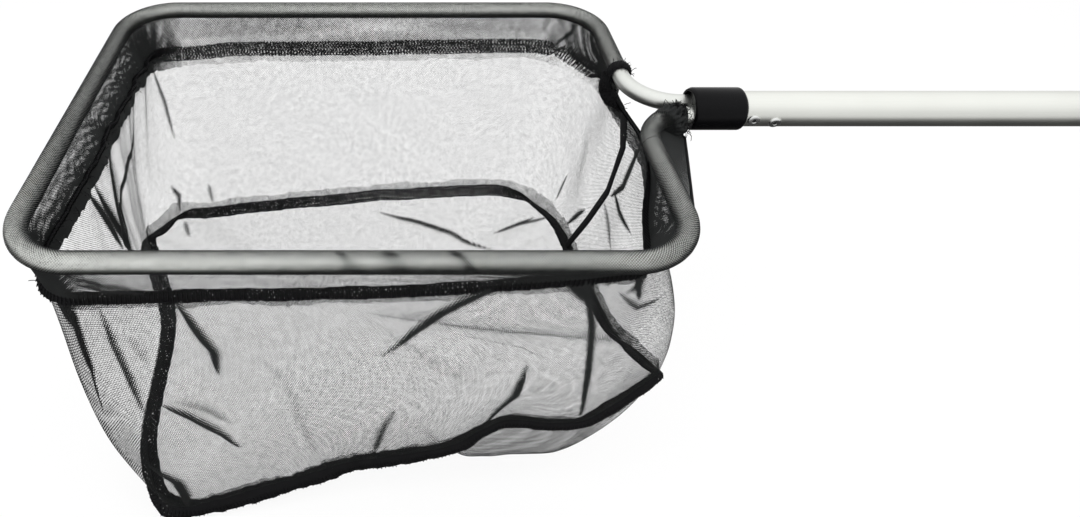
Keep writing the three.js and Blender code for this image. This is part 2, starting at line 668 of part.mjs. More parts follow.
// The sleeve's section: round the tube, with its two layers hanging below, as far as the rim seam
function sleeveRing(hang, radius, tail) {
  const points = [];
  const outward = new THREE.Vector3().crossVectors(hoopTangent(hang.top), new THREE.Vector3(0, 0, 1));
  const spread = Math.asin(CLOTH / (HOOP_RADIUS + SEAT_GAP));
  const sides = TUBE_SIDES;
  const foot = (offset) => hang.top.clone()
    .addScaledVector(hang.skirtDown, hang.skirtLength - RIM_SEAM_REACH)
    .addScaledVector(hang.skirtOut, offset);
  if (tail) points.push(foot(-CLOTH));
  for (let i = 0; i <= sides; i += 1) {
    const angle = spread + ((2 * Math.PI - 2 * spread) * i) / sides;
    const point = hang.top.clone().addScaledVector(outward, -radius * Math.sin(angle));
    point.z -= radius * Math.cos(angle);
    points.push(point);
  }
  if (tail) points.push(foot(CLOTH));
  if (!tail) return [points[0].clone(), ...points, points.at(-1).clone()];
  return points;
}

function netSleeve() {
  const covered = HANGS.slice(0, HOOP_LOOP.gapStart + 1);
  const inner = HOOP_RADIUS + SEAT_GAP;
  const outside = covered.map((hang) => sleeveRing(hang, inner + CLOTH, true));
  const inside = covered.map((hang) => sleeveRing(hang, inner, false)).reverse();
  return skin([...outside, ...inside]);
}

// A seam band: an oval section carried round the bag
function seamBand(middleOf, downOf, halfAlong, halfOut) {
  return skin(HANGS.map((hang) => {
    const down = downOf(hang);
    const out = new THREE.Vector3().crossVectors(down, hoopTangent(hang.top)).normalize();
    const ring = [];
    for (let i = 0; i < SECTION_SIDES; i += 1) {
      const angle = (2 * Math.PI * i) / SECTION_SIDES;
      const point = middleOf(hang).clone().addScaledVector(down, halfAlong * Math.cos(angle));
      ring.push(point.addScaledVector(out, halfOut * Math.sin(angle)));
    }
    return ring;
  }));
}

// The rim seam lies in line with the sleeve above it, and the bottom seam with the wall above it
function rimSeam() {
  return seamBand(({ rim }) => rim, ({ skirtDown }) => skirtDown, RIM_SEAM_WIDTH / 2, SEAM_THICKNESS / 2);
}

function floorSeam() {
  return seamBand(({ bottom }) => bottom, ({ down }) => down, FLOOR_SEAM_WIDTH / 2, FLOOR_SEAM_THICKNESS / 2);
}

function netWall() {
  const rows = [];
  for (const [side, order] of [[1, 1], [-1, -1]]) {
    for (let r = 0; r <= WALL_ROWS; r += 1) {
      const share = (order > 0 ? r : WALL_ROWS - r) / WALL_ROWS;
      rows.push(HANGS.map((hang) => wallPoint(hang, share, (side * CLOTH) / 2)));
    }
  }
  return skin(rows);
}

// The seam that closes the wall's strip: a band that lies on its inside, midway between the tube ends
function closingSeam() {
  const middle = HOOP_LOOP.gapMiddle;
  const hang = HANGS[middle];
  const face = -(CLOTH / 2 + SEAT_GAP);
  const edge = (share, step, outward) => {
    const next = HANGS[middle + step];
    const reach = CLOSING_SEAM_WIDTH / 2 / hang.top.distanceTo(next.top);
    return wallPoint(hang, share, outward).lerp(wallPoint(next, share, outward), reach);
  };
  const rows = [];
  for (let r = 0; r <= WALL_ROWS; r += 1) {
    const share = THREE.MathUtils.clamp(r / WALL_ROWS, CLOSING_SEAM_MARGIN, 1 - CLOSING_SEAM_MARGIN);
    const back = face - CLOSING_SEAM_THICKNESS;
    rows.push([edge(share, -1, face), edge(share, 1, face), edge(share, 1, back), edge(share, -1, back)]);
  }
  const cap = (row) => {
    const centre = row[0].clone().add(row[2]).multiplyScalar(0.5);
    return row.map(() => centre.clone());
  };
  return skin([cap(rows[0]), ...rows, cap(rows.at(-1))], false);
}

// The bottom panel's middle surface: it ends inside its seam and square to it,
// sags in the middle, and bulges below the seam at the front
function floorRings() {
  const middle = floorPoint(FLOOR_MIDDLE);
  const seam = HANGS.map(({ bottom }) => bottom);
  const edge = seam.map((bottom, i) => {
    const along = alongRow(seam, i);
    const inward = new THREE.Vector3().subVectors(middle, bottom);
    inward.addScaledVector(along, -inward.dot(along)).normalize();
    return bottom.clone().addScaledVector(inward, FLOOR_SEAM_THICKNESS / 2 + SEAT_GAP + CLOTH / 2);
  });
  return FLOOR_RINGS.map((share) => edge.map((rim, i) => {
    const point = middle.clone().lerp(rim, share);
    const within = Math.max(0, (share - BULGE_FROM) / (1 - BULGE_FROM));
    const bulge = HANGS[i].bulge * Math.sin(Math.PI * within);
    point.z -= FLOOR_SAG * (1 - share * share) + bulge;
    point.y -= BULGE_FORWARD * bulge;
    return point;
  }));
}

function netFloor() {
  const rings = floorRings();
  const up = new THREE.Vector3(0, 0, 1);
  const ups = rings.map((ring, r) => ring.map((point, i) => {
    if (r === 0) return up;
    const outward = new THREE.Vector3().subVectors(rings[Math.min(r + 1, rings.length - 1)][i], rings[r - 1][i]);
    return outward.cross(alongRow(ring, i)).normalize();
  }));
  const offset = (side) => rings.map((ring, r) => ring.map(
    (point, i) => point.clone().addScaledVector(ups[r][i], (side * CLOTH) / 2),
  ));
  return skin([...offset(-1), ...offset(1).reverse()], false);
}

// Cloth round a tube end's bend, between two lengths along it from the hoop's side.
// What is bunched up lies on the inside of the bend, clear of the other tube end.
function legCloth(side, from, to, thickness, bunchAt, steps) {
  const centre = new THREE.Vector3(HOOP_SIDE + LEG_BEND, side * GAP_END, 0);
  const inner = HOOP_RADIUS + SEAT_GAP;
  const ring = (along, radius, shift) => {
    const angle = along / LEG_BEND;
    const outward = new THREE.Vector3(-Math.cos(angle), -side * Math.sin(angle), 0);
    const points = [];
    for (let i = 0; i < TUBE_SIDES; i += 1) {
      const turn = (2 * Math.PI * i) / TUBE_SIDES;
      const point = centre.clone().addScaledVector(outward, LEG_BEND - shift + radius * Math.cos(turn));
      point.z += radius * Math.sin(turn);
      points.push(point);
    }
    return points;
  };
  const outside = [];
  const inside = [];
  for (let i = 0; i <= steps; i += 1) {
    const along = from + ((to - from) * i) / steps;
    const half = bunchAt(along) / 2;
    outside.push(ring(along, inner + thickness + half, half));
    inside.unshift(ring(along, inner, 0));
  }
  return skin([...outside, ...inside]);
}

function sleeveBinding() {
  return legCloth(1, SEAT_GAP, SEAT_GAP + BINDING_LENGTH, BINDING_THICKNESS, () => 0, 2);
}

// The sleeve's front end: snug on the bend, then bunched up beside the collar
function sleeveGather() {
  const end = (LEG_BEND * Math.PI) / 2 + LEG_BARE - GATHER_FROM_COLLAR;
  const bunch = (along) => {
    const share = Math.max(0, (along - GATHER_SNUG) / (end - GATHER_SNUG));
    return GATHER_BUNCH * Math.sin(Math.PI * share);
  };
  return legCloth(-1, SEAT_GAP, end, CLOTH, bunch, LEG_STEPS);
}

function piece(name, geometry, finish) {
  geometry.computeVertexNormals();
  const mesh = new THREE.Mesh(geometry, new THREE.MeshStandardMaterial(finish));
  mesh.name = name;
  return mesh;
}

const hoop = new THREE.Group();
hoop.add(
  piece('hoop_tube', hoopTube(), ALUMINIUM),
  piece('collar', collar(), BLACK_PLASTIC),
  piece('leg_screw_front', legScrew(-1), STEEL),
  piece('leg_screw_rear', legScrew(1), STEEL),
);

const bag = new THREE.Group();
bag.add(
  piece('net_sleeve', netSleeve(), BLACK_MESH),
  piece('sleeve_binding', sleeveBinding(), BLACK_THREAD),
  piece('sleeve_gather', sleeveGather(), BLACK_MESH),
  piece('rim_seam', rimSeam(), BLACK_THREAD),
  piece('net_wall', netWall(), BLACK_MESH),
  piece('closing_seam', closingSeam(), BLACK_THREAD),
  piece('floor_seam', floorSeam(), BLACK_THREAD),
  piece('net_floor', netFloor(), BLACK_MESH),
);

const handle = new THREE.Group();
handle.add(
  piece('handle_tube', handleTube(), SATIN_ALUMINIUM),
  piece('rivet_front', rivet(0), RIVET_METAL),
  piece('rivet_rear', rivet(1), RIVET_METAL),
  piece('lock_bush', lockBush(), BLACK_PLASTIC),
  piece('lock_collet', lockCollet(), BLACK_PLASTIC),
  piece('lock_nut', lockNut(), BLACK_PLASTIC),
  piece('inner_tube', innerTube(), SATIN_ALUMINIUM),
  piece('guide_bush', guideBush(), BLACK_PLASTIC),
  piece('grip', grip(), BLACK_RUBBER),
  piece('end_cap', endCap(), BLACK_PLASTIC),
);

const pondNet = new THREE.Group();
pondNet.add(hoop, bag, handle);
pondNet.position.x = -HANDLE_END;

export default pondNet;
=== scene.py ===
"""Looks of a hand-held pond net: a bent-tube hoop, a black mesh bag and a telescopic handle.

Metres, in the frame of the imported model: +X runs along the handle away from the net, +Z is up,
the hoop's centre line lies in z = 0 and the origin is on the end cap's flat rear face.
"""
import logging
import math
from dataclasses import dataclass, field
from enum import Enum
from typing import Callable, Optional, Sequence

import bmesh
import bpy
import numpy as np
from mathutils import Matrix, Vector

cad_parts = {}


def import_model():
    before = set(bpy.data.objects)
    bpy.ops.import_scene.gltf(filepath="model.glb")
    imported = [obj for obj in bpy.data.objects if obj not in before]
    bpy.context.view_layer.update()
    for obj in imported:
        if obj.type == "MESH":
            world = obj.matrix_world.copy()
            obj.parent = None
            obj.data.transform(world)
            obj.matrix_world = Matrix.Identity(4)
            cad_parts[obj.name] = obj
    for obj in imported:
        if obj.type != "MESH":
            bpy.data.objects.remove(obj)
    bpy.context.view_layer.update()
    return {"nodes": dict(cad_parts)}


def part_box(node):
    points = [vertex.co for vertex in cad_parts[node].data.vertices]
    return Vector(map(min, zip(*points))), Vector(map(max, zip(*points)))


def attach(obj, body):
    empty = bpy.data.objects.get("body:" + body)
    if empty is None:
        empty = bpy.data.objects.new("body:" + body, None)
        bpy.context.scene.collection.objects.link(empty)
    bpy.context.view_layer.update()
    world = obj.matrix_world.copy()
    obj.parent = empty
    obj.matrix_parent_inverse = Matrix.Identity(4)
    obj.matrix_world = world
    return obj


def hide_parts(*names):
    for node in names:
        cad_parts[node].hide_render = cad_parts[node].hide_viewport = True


Array = np.ndarray
Material = bpy.types.Material
Mesh = bmesh.types.BMesh
Piece = bpy.types.Object
Socket = bpy.types.NodeSocket
Tree = bpy.types.NodeTree

LOG = logging.getLogger("pond_net")
MM = 0.001
UP = np.array([0.0, 0.0, 1.0])


class Body(Enum):
    """The rigid bodies of the net."""

    GRIP_END = "grip_end"
    NET_HEAD = "net_head"
    LOCK_NUT = "lock_nut"


class Slot(Enum):
    """The record's material slots."""

    HOOP = "hoop_aluminium"
    HANDLE = "handle_aluminium"
    RIVET = "rivet_metal"
    SCREW = "screw_steel"
    COLLAR = "collar_plastic"
    LOCK = "lock_plastic"
    GRIP = "grip_rubber"
    MESH = "net_mesh"
    THREAD = "seam_thread"


# Shader groups

class Groups:
    """Shader node groups that several finishes share, each built once."""

    _built: dict[str, Tree] = {}

    @classmethod
    def get(cls, name: str, maker: Callable[[Tree], None]) -> Tree:
        """Returns the named group, building it the first time.

        Args:
            name: the group's name.
            maker: fills a new group with its sockets and nodes.

        Returns:
            The shader node group.
        """
        if name not in cls._built:
            tree = bpy.data.node_groups.new(name, "ShaderNodeTree")
            maker(tree)
            cls._built[name] = tree
        return cls._built[name]


class Wiring:
    """Short ways to place and join nodes in one node tree."""

    def __init__(self, tree: Tree) -> None:
        """Keeps the tree that the nodes go into."""
        self.tree = tree

    def inputs(self, **values: Optional[float]) -> bpy.types.NodeOutputs:
        """Adds a group's inputs.

        Args:
            values: each input's name and default, or None for a vector.

        Returns:
            The sockets that give the inputs inside the group.
        """
        for name, value in values.items():
            kind = "NodeSocketVector" if value is None else "NodeSocketFloat"
            made = self.tree.interface.new_socket(name, in_out="INPUT", socket_type=kind)
            if value is not None:
                made.default_value = value
        return self.node("NodeGroupInput").outputs

    def results(self, **values: Socket) -> None:
        """Adds a group's outputs, which are plain numbers.

        Args:
            values: each output's name, and the socket that it gives.
        """
        for name in values:
            self.tree.interface.new_socket(name, in_out="OUTPUT", socket_type="NodeSocketFloat")
        out = self.node("NodeGroupOutput")
        for name, value in values.items():
            self.put(out.inputs[name], value)

    def node(self, kind: str, **settings: object) -> bpy.types.Node:
        """Adds a node and sets its properties.

        Args:
            kind: the node's type, without its ShaderNode prefix unless it is a Node type.
            settings: properties of the node.

        Returns:
            The new node.
        """
        full = kind if kind.startswith("Node") else f"ShaderNode{kind}"
        made = self.tree.nodes.new(full)
        for key, value in settings.items():
            setattr(made, key, value)
        return made

    def put(self, target: Socket, value: object) -> None:
        """Links a socket to an input, or sets the input's value.

        Args:
            target: the input socket.
            value: an output socket, or a plain value.
        """
        if isinstance(value, Socket):
            self.tree.links.new(value, target)
        else:
            target.default_value = value

    def math(self, operation: str, *values: object, clamp: bool = False) -> Socket:
        """Adds a Math node.

        Args:
            operation: the node's operation.
            values: sockets or numbers for its inputs.
            clamp: True to keep the result between 0 and 1.

        Returns:
            The node's output.
        """
        made = self.node("Math", operation=operation, use_clamp=clamp)
        for target, value in zip(made.inputs, values):
            self.put(target, value)
        return made.outputs[0]

    def ramp(self, value: object, low: float, high: float, to_low: float, to_high: float) -> Socket:
        """Maps a value smoothly from one range to another.

        Args:
            value: the socket to map.
            low: the start of the input range.
            high: the end of the input range.
            to_low: the result at the start.
            to_high: the result at the end.

        Returns:
            The mapped value.
        """
        made = self.node("MapRange", interpolation_type="SMOOTHSTEP")
        for target, number in zip(made.inputs[1:5], (low, high, to_low, to_high)):
            target.default_value = number
        self.put(made.inputs[0], value)
        return made.outputs[0]

    def noise(self, vector: object, scale: float, detail: float = 2.0, rough: float = 0.5) -> Socket:
        """Adds a noise texture.

        Args:
            vector: the coordinates.
            scale: the noise's scale.
            detail: how many octaves it has.
            rough: how strong the fine octaves are.

        Returns:
            The noise value.
        """
        made = self.node("TexNoise")
        self.put(made.inputs["Vector"], vector)
        made.inputs["Scale"].default_value = scale
        made.inputs["Detail"].default_value = detail
        made.inputs["Roughness"].default_value = rough
        return made.outputs["Fac"]

    def stretched(self, vector: object, scale: Sequence[float]) -> Socket:
        """Scales coordinates, so that a pattern runs along one direction.

        Args:
            vector: the coordinates.
            scale: the factor along each axis.

        Returns:
            The scaled coordinates.
        """
        made = self.node("Mapping")
        made.inputs["Scale"].default_value = scale
        self.put(made.inputs["Vector"], vector)
        return made.outputs["Vector"]


def knit_group(tree: Tree) -> None:
    """Fills the group of an open knitted mesh: crossing threads on coordinates in millimetres.

    Args:
        tree: the group to fill.
    """
    wire = Wiring(tree)
    given = wire.inputs(Vector=None, Pitch=1.15, Thread=0.14, Density=1.0)
    wobble = wire.math("MULTIPLY_ADD", wire.noise(given["Vector"], 0.35), 0.5, -0.25)
    split = wire.node("SeparateXYZ")
    wire.put(split.inputs[0], given["Vector"])
    across = wire.math("ADD", split.outputs[0], wobble)
    down = wire.math("SUBTRACT", split.outputs[1], wobble)
    fine = wire.ramp(wire.noise(given["Vector"], 0.8, detail=1.0), 0.3, 0.7, 0.6, 1.4)
    coarse = wire.ramp(wire.noise(given["Vector"], 0.22, detail=2.0), 0.3, 0.7, 0.72, 1.28)
    uneven = wire.math("MULTIPLY", fine, coarse)
    gathered = wire.math("MULTIPLY_ADD", wire.math("SUBTRACT", given["Density"], 1.0), 1.3, uneven)
    width = wire.math("MULTIPLY", given["Thread"], gathered)
    edge = wire.math("SUBTRACT", 1.0, width)
    threads = []
    for operation in ("ADD", "SUBTRACT"):
        slant = wire.math("DIVIDE", wire.math(operation, across, down), given["Pitch"])
        wave = wire.math("ABSOLUTE", wire.math("MULTIPLY_ADD", wire.math("FRACT", slant), 2.0, -1.0))
        rise = wire.math("SUBTRACT", wave, edge)
        threads.append(wire.math("MULTIPLY_ADD", rise, 12.0, 0.5, clamp=True))
    wire.results(Cover=wire.math("MAXIMUM", *threads), Height=wire.math("MULTIPLY", *threads))


def drawn_group(tree: Tree) -> None:
    """Fills the group of drawn metal: fine lines along the tube, soft clouds and a few scuffs.

    Args:
        tree: the group to fill.
    """
    wire = Wiring(tree)
    given = wire.inputs(Vector=None, Roughness=0.35, Lines=None)
    lines = wire.noise(given["Lines"], 1.0, detail=3.0, rough=0.6)
    cloud = wire.noise(given["Vector"], 28.0, detail=3.0)
    scuff = wire.ramp(wire.noise(given["Vector"], 160.0, detail=4.0, rough=0.7), 0.68, 0.76, 0.0, 1.0)
    grain = wire.math("MULTIPLY_ADD", lines, 0.10, -0.05)
    rough = wire.math("ADD", given["Roughness"], grain)
    rough = wire.math("MULTIPLY_ADD", cloud, 0.08, wire.math("SUBTRACT", rough, 0.04))
    rough = wire.math("MULTIPLY_ADD", scuff, 0.12, rough)
    tone = wire.math("MULTIPLY_ADD", wire.math("ADD", lines, cloud), 0.06, 0.94)
    wire.results(Tone=tone, Roughness=rough, Height=lines)


def moulded_group(tree: Tree) -> None:
    """Fills the group of moulded plastic and rubber: a fine grain, soft clouds and pale scuffs.

    Args:
        tree: the group to fill.
    """
    wire = Wiring(tree)
    given = wire.inputs(Vector=None, Roughness=0.35, Grain=900.0)
    fine = wire.node("TexNoise")
    wire.put(fine.inputs["Vector"], given["Vector"])
    wire.put(fine.inputs["Scale"], given["Grain"])
    cloud = wire.noise(given["Vector"], 60.0, detail=3.0)
    scuff = wire.ramp(wire.noise(given["Vector"], 220.0, detail=5.0, rough=0.75), 0.66, 0.80, 0.0, 1.0)
    rough = wire.math("MULTIPLY_ADD", cloud, 0.14, wire.math("SUBTRACT", given["Roughness"], 0.07))
    rough = wire.math("MULTIPLY_ADD", scuff, 0.15, rough)
    wire.results(Scuff=scuff, Roughness=rough, Height=fine.outputs["Fac"])


# Finishes

class Finish:
    """A material that is made once and shared by its pieces."""

    _made: dict[str, Material] = {}

    def start(self, name: str) -> tuple[Material, Wiring, bpy.types.Node]:
        """Makes an empty material with its shader.

        Args:
            name: the material's name.

        Returns:
            The material, the wiring of its nodes, and its shader.
        """
        material = bpy.data.materials.new(name)
        material.use_nodes = True
        wire = Wiring(material.node_tree)
        shader = material.node_tree.nodes["Principled BSDF"]
        return material, wire, shader

    def group(self, wire: Wiring, name: str, maker: Callable[[Tree], None]) -> bpy.types.Node:
        """Places a shared shader group in a material.

        Args:
            wire: the material's wiring.
            name: the group's name.
            maker: fills the group the first time.

        Returns:
            The group's node.
        """
        node = wire.node("Group")
        node.node_tree = Groups.get(name, maker)
        return node

    def bump(self, wire: Wiring, shader: bpy.types.Node, height: object, strength: float,
             depth: float) -> None:
        """Gives the shader a bump.

        Args:
            wire: the material's wiring.
            shader: the material's shader.
            height: the socket of the height.
            strength: how strong it is.
            depth: how deep it is.
        """
        node = wire.node("Bump")
        node.inputs["Strength"].default_value = strength
        node.inputs["Distance"].default_value = depth
        wire.put(node.inputs["Height"], height)
        wire.put(shader.inputs["Normal"], node.outputs["Normal"])

    def tint(self, wire: Wiring, shader: bpy.types.Node, mask: object, low: Sequence[float],
             high: Sequence[float]) -> None:
        """Mixes two colours by a mask into the base colour.

        Args:
            wire: the material's wiring.
            shader: the material's shader.
            mask: the socket of the mask.
            low: the colour where the mask is 0.
            high: the colour where the mask is 1.
        """
        node = wire.node("Mix", data_type="RGBA")
        wire.put(node.inputs["Factor"], mask)
        node.inputs[6].default_value = (*low, 1.0)
        node.inputs[7].default_value = (*high, 1.0)
        wire.put(shader.inputs["Base Color"], node.outputs[2])

    def material(self) -> Material:
        """Returns the finish's material, making it the first time."""
        key = repr(self)
        if key not in Finish._made:
            Finish._made[key] = self.make()
        return Finish._made[key]

    def make(self) -> Material:
        """Makes the material."""
        raise NotImplementedError


@dataclass(frozen=True)
class Metal(Finish):
    """Bare metal with drawing lines along one direction."""

    name: str
    dark: tuple[float, float, float]
    light: tuple[float, float, float]
    roughness: float
    lines: tuple[float, float, float]
    depth: float = 0.00002

    def make(self) -> Material:
        """Makes the material."""
        material, wire, shader = self.start(self.name)
        place = wire.node("TexCoord").outputs["Object"]
        drawn = self.group(wire, "drawn_metal", drawn_group)
        wire.put(drawn.inputs["Vector"], place)
        wire.put(drawn.inputs["Lines"], wire.stretched(place, self.lines))
        drawn.inputs["Roughness"].default_value = self.roughness
        shader.inputs["Metallic"].default_value = 1.0
        tone = wire.ramp(drawn.outputs["Tone"], 0.95, 1.05, 0.0, 1.0)
        self.tint(wire, shader, tone, self.dark, self.light)
        wire.put(shader.inputs["Roughness"], drawn.outputs["Roughness"])
        self.bump(wire, shader, drawn.outputs["Height"], 0.25, self.depth)
        return material


@dataclass(frozen=True)
class Moulded(Finish):
    """Moulded plastic or rubber."""

    name: str
    color: tuple[float, float, float]
    scuffed: tuple[float, float, float]
    roughness: float
    grain: float
    depth: float

    def make(self) -> Material:
        """Makes the material."""
        material, wire, shader = self.start(self.name)
        place = wire.node("TexCoord").outputs["Object"]
        moulded = self.group(wire, "moulded_plastic", moulded_group)
        wire.put(moulded.inputs["Vector"], place)
        moulded.inputs["Roughness"].default_value = self.roughness
        moulded.inputs["Grain"].default_value = self.grain
        self.tint(wire, shader, moulded.outputs["Scuff"], self.color, self.scuffed)
        wire.put(shader.inputs["Roughness"], moulded.outputs["Roughness"])
        shader.inputs["Specular IOR Level"].default_value = 0.11
        self.bump(wire, shader, moulded.outputs["Height"], 0.4, self.depth)
        return material


@dataclass(frozen=True)
class MeshCloth(Finish):
    """Open knitted mesh, whose threads stand closer where the cloth is gathered.

    The holes of a mesh close up when it is seen at a slant, down to the least slant below.
    """

    name: str
    color: tuple[float, float, float]
    faded: tuple[float, float, float]
    pitch: float
    thread: float
    least_slant: float = 0.15
    slant_power: float = 0.7

    def make(self) -> Material:
        """Makes the material."""
        material, wire, shader = self.start(self.name)
        weave = wire.node("UVMap", uv_map="weave").outputs["UV"]
        gather = wire.node("Attribute", attribute_name="closeness").outputs["Fac"]
        facing = wire.math("SUBTRACT", 1.0, wire.node("LayerWeight").outputs["Facing"])
        facing = wire.math("MAXIMUM", facing, self.least_slant)
        slant = wire.math("DIVIDE", gather, wire.math("POWER", facing, self.slant_power))
        knit = self.group(wire, "open_knit", knit_group)
        wire.put(knit.inputs["Vector"], weave)
        knit.inputs["Pitch"].default_value = self.pitch
        knit.inputs["Thread"].default_value = self.thread
        wire.put(knit.inputs["Density"], slant)
        self.tint(wire, shader, wire.noise(weave, 0.08), self.color, self.faded)
        wire.put(shader.inputs["Alpha"], knit.outputs["Cover"])
        shader.inputs["Roughness"].default_value = 0.7
        shader.inputs["Specular IOR Level"].default_value = 0.15
        self.bump(wire, shader, knit.outputs["Height"], 0.5, 0.0001)
        return material


@dataclass(frozen=True)
class Thread(Finish):
    """Twisted sewing thread."""

    name: str
    color: tuple[float, float, float]
    faded: tuple[float, float, float]

    def make(self) -> Material:
        """Makes the material."""
        material, wire, shader = self.start(self.name)
        place = wire.node("TexCoord").outputs["Object"]
        twist = wire.noise(place, 2600.0, detail=3.0, rough=0.6)
        self.tint(wire, shader, wire.ramp(twist, 0.45, 0.75, 0.0, 1.0), self.color, self.faded)
        wire.put(shader.inputs["Roughness"], wire.ramp(twist, 0.3, 0.7, 0.55, 0.85))
        shader.inputs["Specular IOR Level"].default_value = 0.12
        self.bump(wire, shader, twist, 0.6, 0.0002)
        return material


HOOP_METAL = Metal(
    "drawn_hoop_tube", (0.72, 0.735, 0.70), (0.84, 0.855, 0.82), 0.36, (260.0, 260.0, 260.0))
HANDLE_METAL = Metal(
    "satin_handle_tube", (0.78, 0.79, 0.745), (0.87, 0.88, 0.835), 0.36, (14.0, 2400.0, 2400.0))
RIVET_METAL = Metal(
    "rivet_aluminium", (0.68, 0.69, 0.68), (0.82, 0.83, 0.82), 0.26, (700.0, 700.0, 700.0))
# Near-black metal for the rivet stems: painted shade of the dark hollow in each rivet.
STEM_PAINTED_SHADE = Metal(
    "rivet_stem_painted_shade", (0.020, 0.020, 0.021), (0.060, 0.060, 0.062), 0.55, (900.0, 900.0, 900.0))
SCREW_METAL = Metal(
    "screw_steel", (0.42, 0.43, 0.44), (0.60, 0.61, 0.62), 0.28, (900.0, 900.0, 900.0))
COLLAR_PLASTIC = Moulded(
    "collar_plastic", (0.0025, 0.0025, 0.003), (0.007, 0.007, 0.0075), 0.26, 1500.0, 0.00003)
LOCK_PLASTIC = Moulded(
    "lock_plastic", (0.013, 0.013, 0.014), (0.040, 0.040, 0.041), 0.42, 1200.0, 0.00006)
GRIP_RUBBER = Moulded(
    "grip_rubber", (0.016, 0.016, 0.016), (0.045, 0.044, 0.043), 0.75, 700.0, 0.00020)
NET_MESH = MeshCloth("black_mesh", (0.010, 0.011, 0.011), (0.020, 0.021, 0.021), 1.5, 0.13)
OVERLOCK = MeshCloth("overlocked_seam", (0.004, 0.004, 0.0045), (0.010, 0.010, 0.011), 2.6, 0.50)
SEAM_THREAD = Thread("seam_thread", (0.004, 0.004, 0.0045), (0.014, 0.014, 0.015))


# Mesh helpers

def finished(name: str, bm: Mesh, crease_degrees: float = 38.0,
             turn_out: bool = True) -> Piece:
    """Turns a bmesh into an object at the origin, smooth but for its creases.

    Args:
        name: the piece's name.
        bm: the mesh, which is freed.
        crease_degrees: edges with a sharper angle stay sharp.
        turn_out: True to turn the faces of a closed mesh outwards.

    Returns:
        The new object.
    """
    if turn_out:
        bmesh.ops.remove_doubles(bm, verts=bm.verts, dist=1e-7)
        bmesh.ops.recalc_face_normals(bm, faces=bm.faces)
    limit = math.radians(crease_degrees)
    for face in bm.faces:
        face.smooth = True
    for edge in bm.edges:
        edge.smooth = len(edge.link_faces) != 2 or edge.calc_face_angle() < limit
    mesh = bpy.data.meshes.new(name)
    bm.to_mesh(mesh)
    bm.free()
    made = bpy.data.objects.new(name, mesh)
    bpy.context.scene.collection.objects.link(made)
    return made


def dressed(piece: Piece, finish: Finish, slot: Slot, body: Body, *nodes: str) -> Piece:
    """Gives a piece its finish, its body and the nodes that it stands for.

    Args:
        piece: the piece.
        finish: what it is made of.
        slot: the record's material slot; not used.
        body: the body it moves with.
        nodes: the solids that it replaces.

    Returns:
        The same piece.
    """
    piece.data.materials.clear()
    piece.data.materials.append(finish.material())
    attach(piece, body.value)
    if nodes:
        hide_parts(*nodes)
    LOG.info("%s: %d faces", piece.name, len(piece.data.polygons))
    return piece


def revolved(outline: Sequence[tuple[float, float]], segments: int = 64,
             closed: bool = True) -> Mesh:
    """Spins an outline of (along, radius) points about the X axis.

    Args:
        outline: the points of the outline.
        segments: the steps of a full turn.
        closed: True to join the outline's last point to its first.

    Returns:
        The spun mesh.
    """
    bm = bmesh.new()
    points = [bm.verts.new((along, 0.0, radius)) for along, radius in outline]
    pairs = list(zip(points, points[1:]))
    if closed:
        pairs.append((points[-1], points[0]))
    edges = [bm.edges.new(pair) for pair in pairs]
    bmesh.ops.spin(bm, geom=points + edges, cent=(0, 0, 0), axis=(1, 0, 0), dvec=(0, 0, 0),
                   angle=math.tau, steps=segments, use_merge=True, use_duplicate=False)
    bmesh.ops.remove_doubles(bm, verts=bm.verts, dist=1e-7)
    return bm


def quarter(along: float, radius: float, size: float, start: float, end: float,
            steps: int = 6) -> list[tuple[float, float]]:
    """Rounds a corner of an outline.

    Args:
        along: the round's centre along the axis.
        radius: the round's centre out from the axis.
        size: the round's own radius.
        start: the first angle, in degrees from the axis.
        end: the last angle.
        steps: how many steps it takes.

    Returns:
        The points of the round.
    """
    angles = np.radians(np.linspace(start, end, steps + 1))
    return [(along + size * math.cos(angle), radius + size * math.sin(angle)) for angle in angles]


def carried(bm: Mesh, ring: list, move: Sequence[float]) -> list:
    """Carries the open end of a tube straight on.

    Args:
        bm: the mesh.
        ring: the edges of the tube's end.
        move: how far it goes.

    Returns:
        The edges of the new end.
    """
    made = bmesh.ops.extrude_edge_only(bm, edges=ring)["geom"]
    verts = [item for item in made if isinstance(item, bmesh.types.BMVert)]
    bmesh.ops.translate(bm, verts=verts, vec=move)
    return [item for item in made if isinstance(item, bmesh.types.BMEdge)
            and all(vert in verts for vert in item.verts)]


Place = Callable[[Array, Array], Array]


def flat_weave(width: float, height: float) -> Place:
    """Gives the cloth coordinates of a flat cloth by two shares, in millimetres.

    Args:
        width: the cloth's size along the first share.
        height: its size along the second share.

    Returns:
        The function from shares to coordinates.
    """
    return lambda first, second: np.stack([first * width, second * height], axis=1) / MM


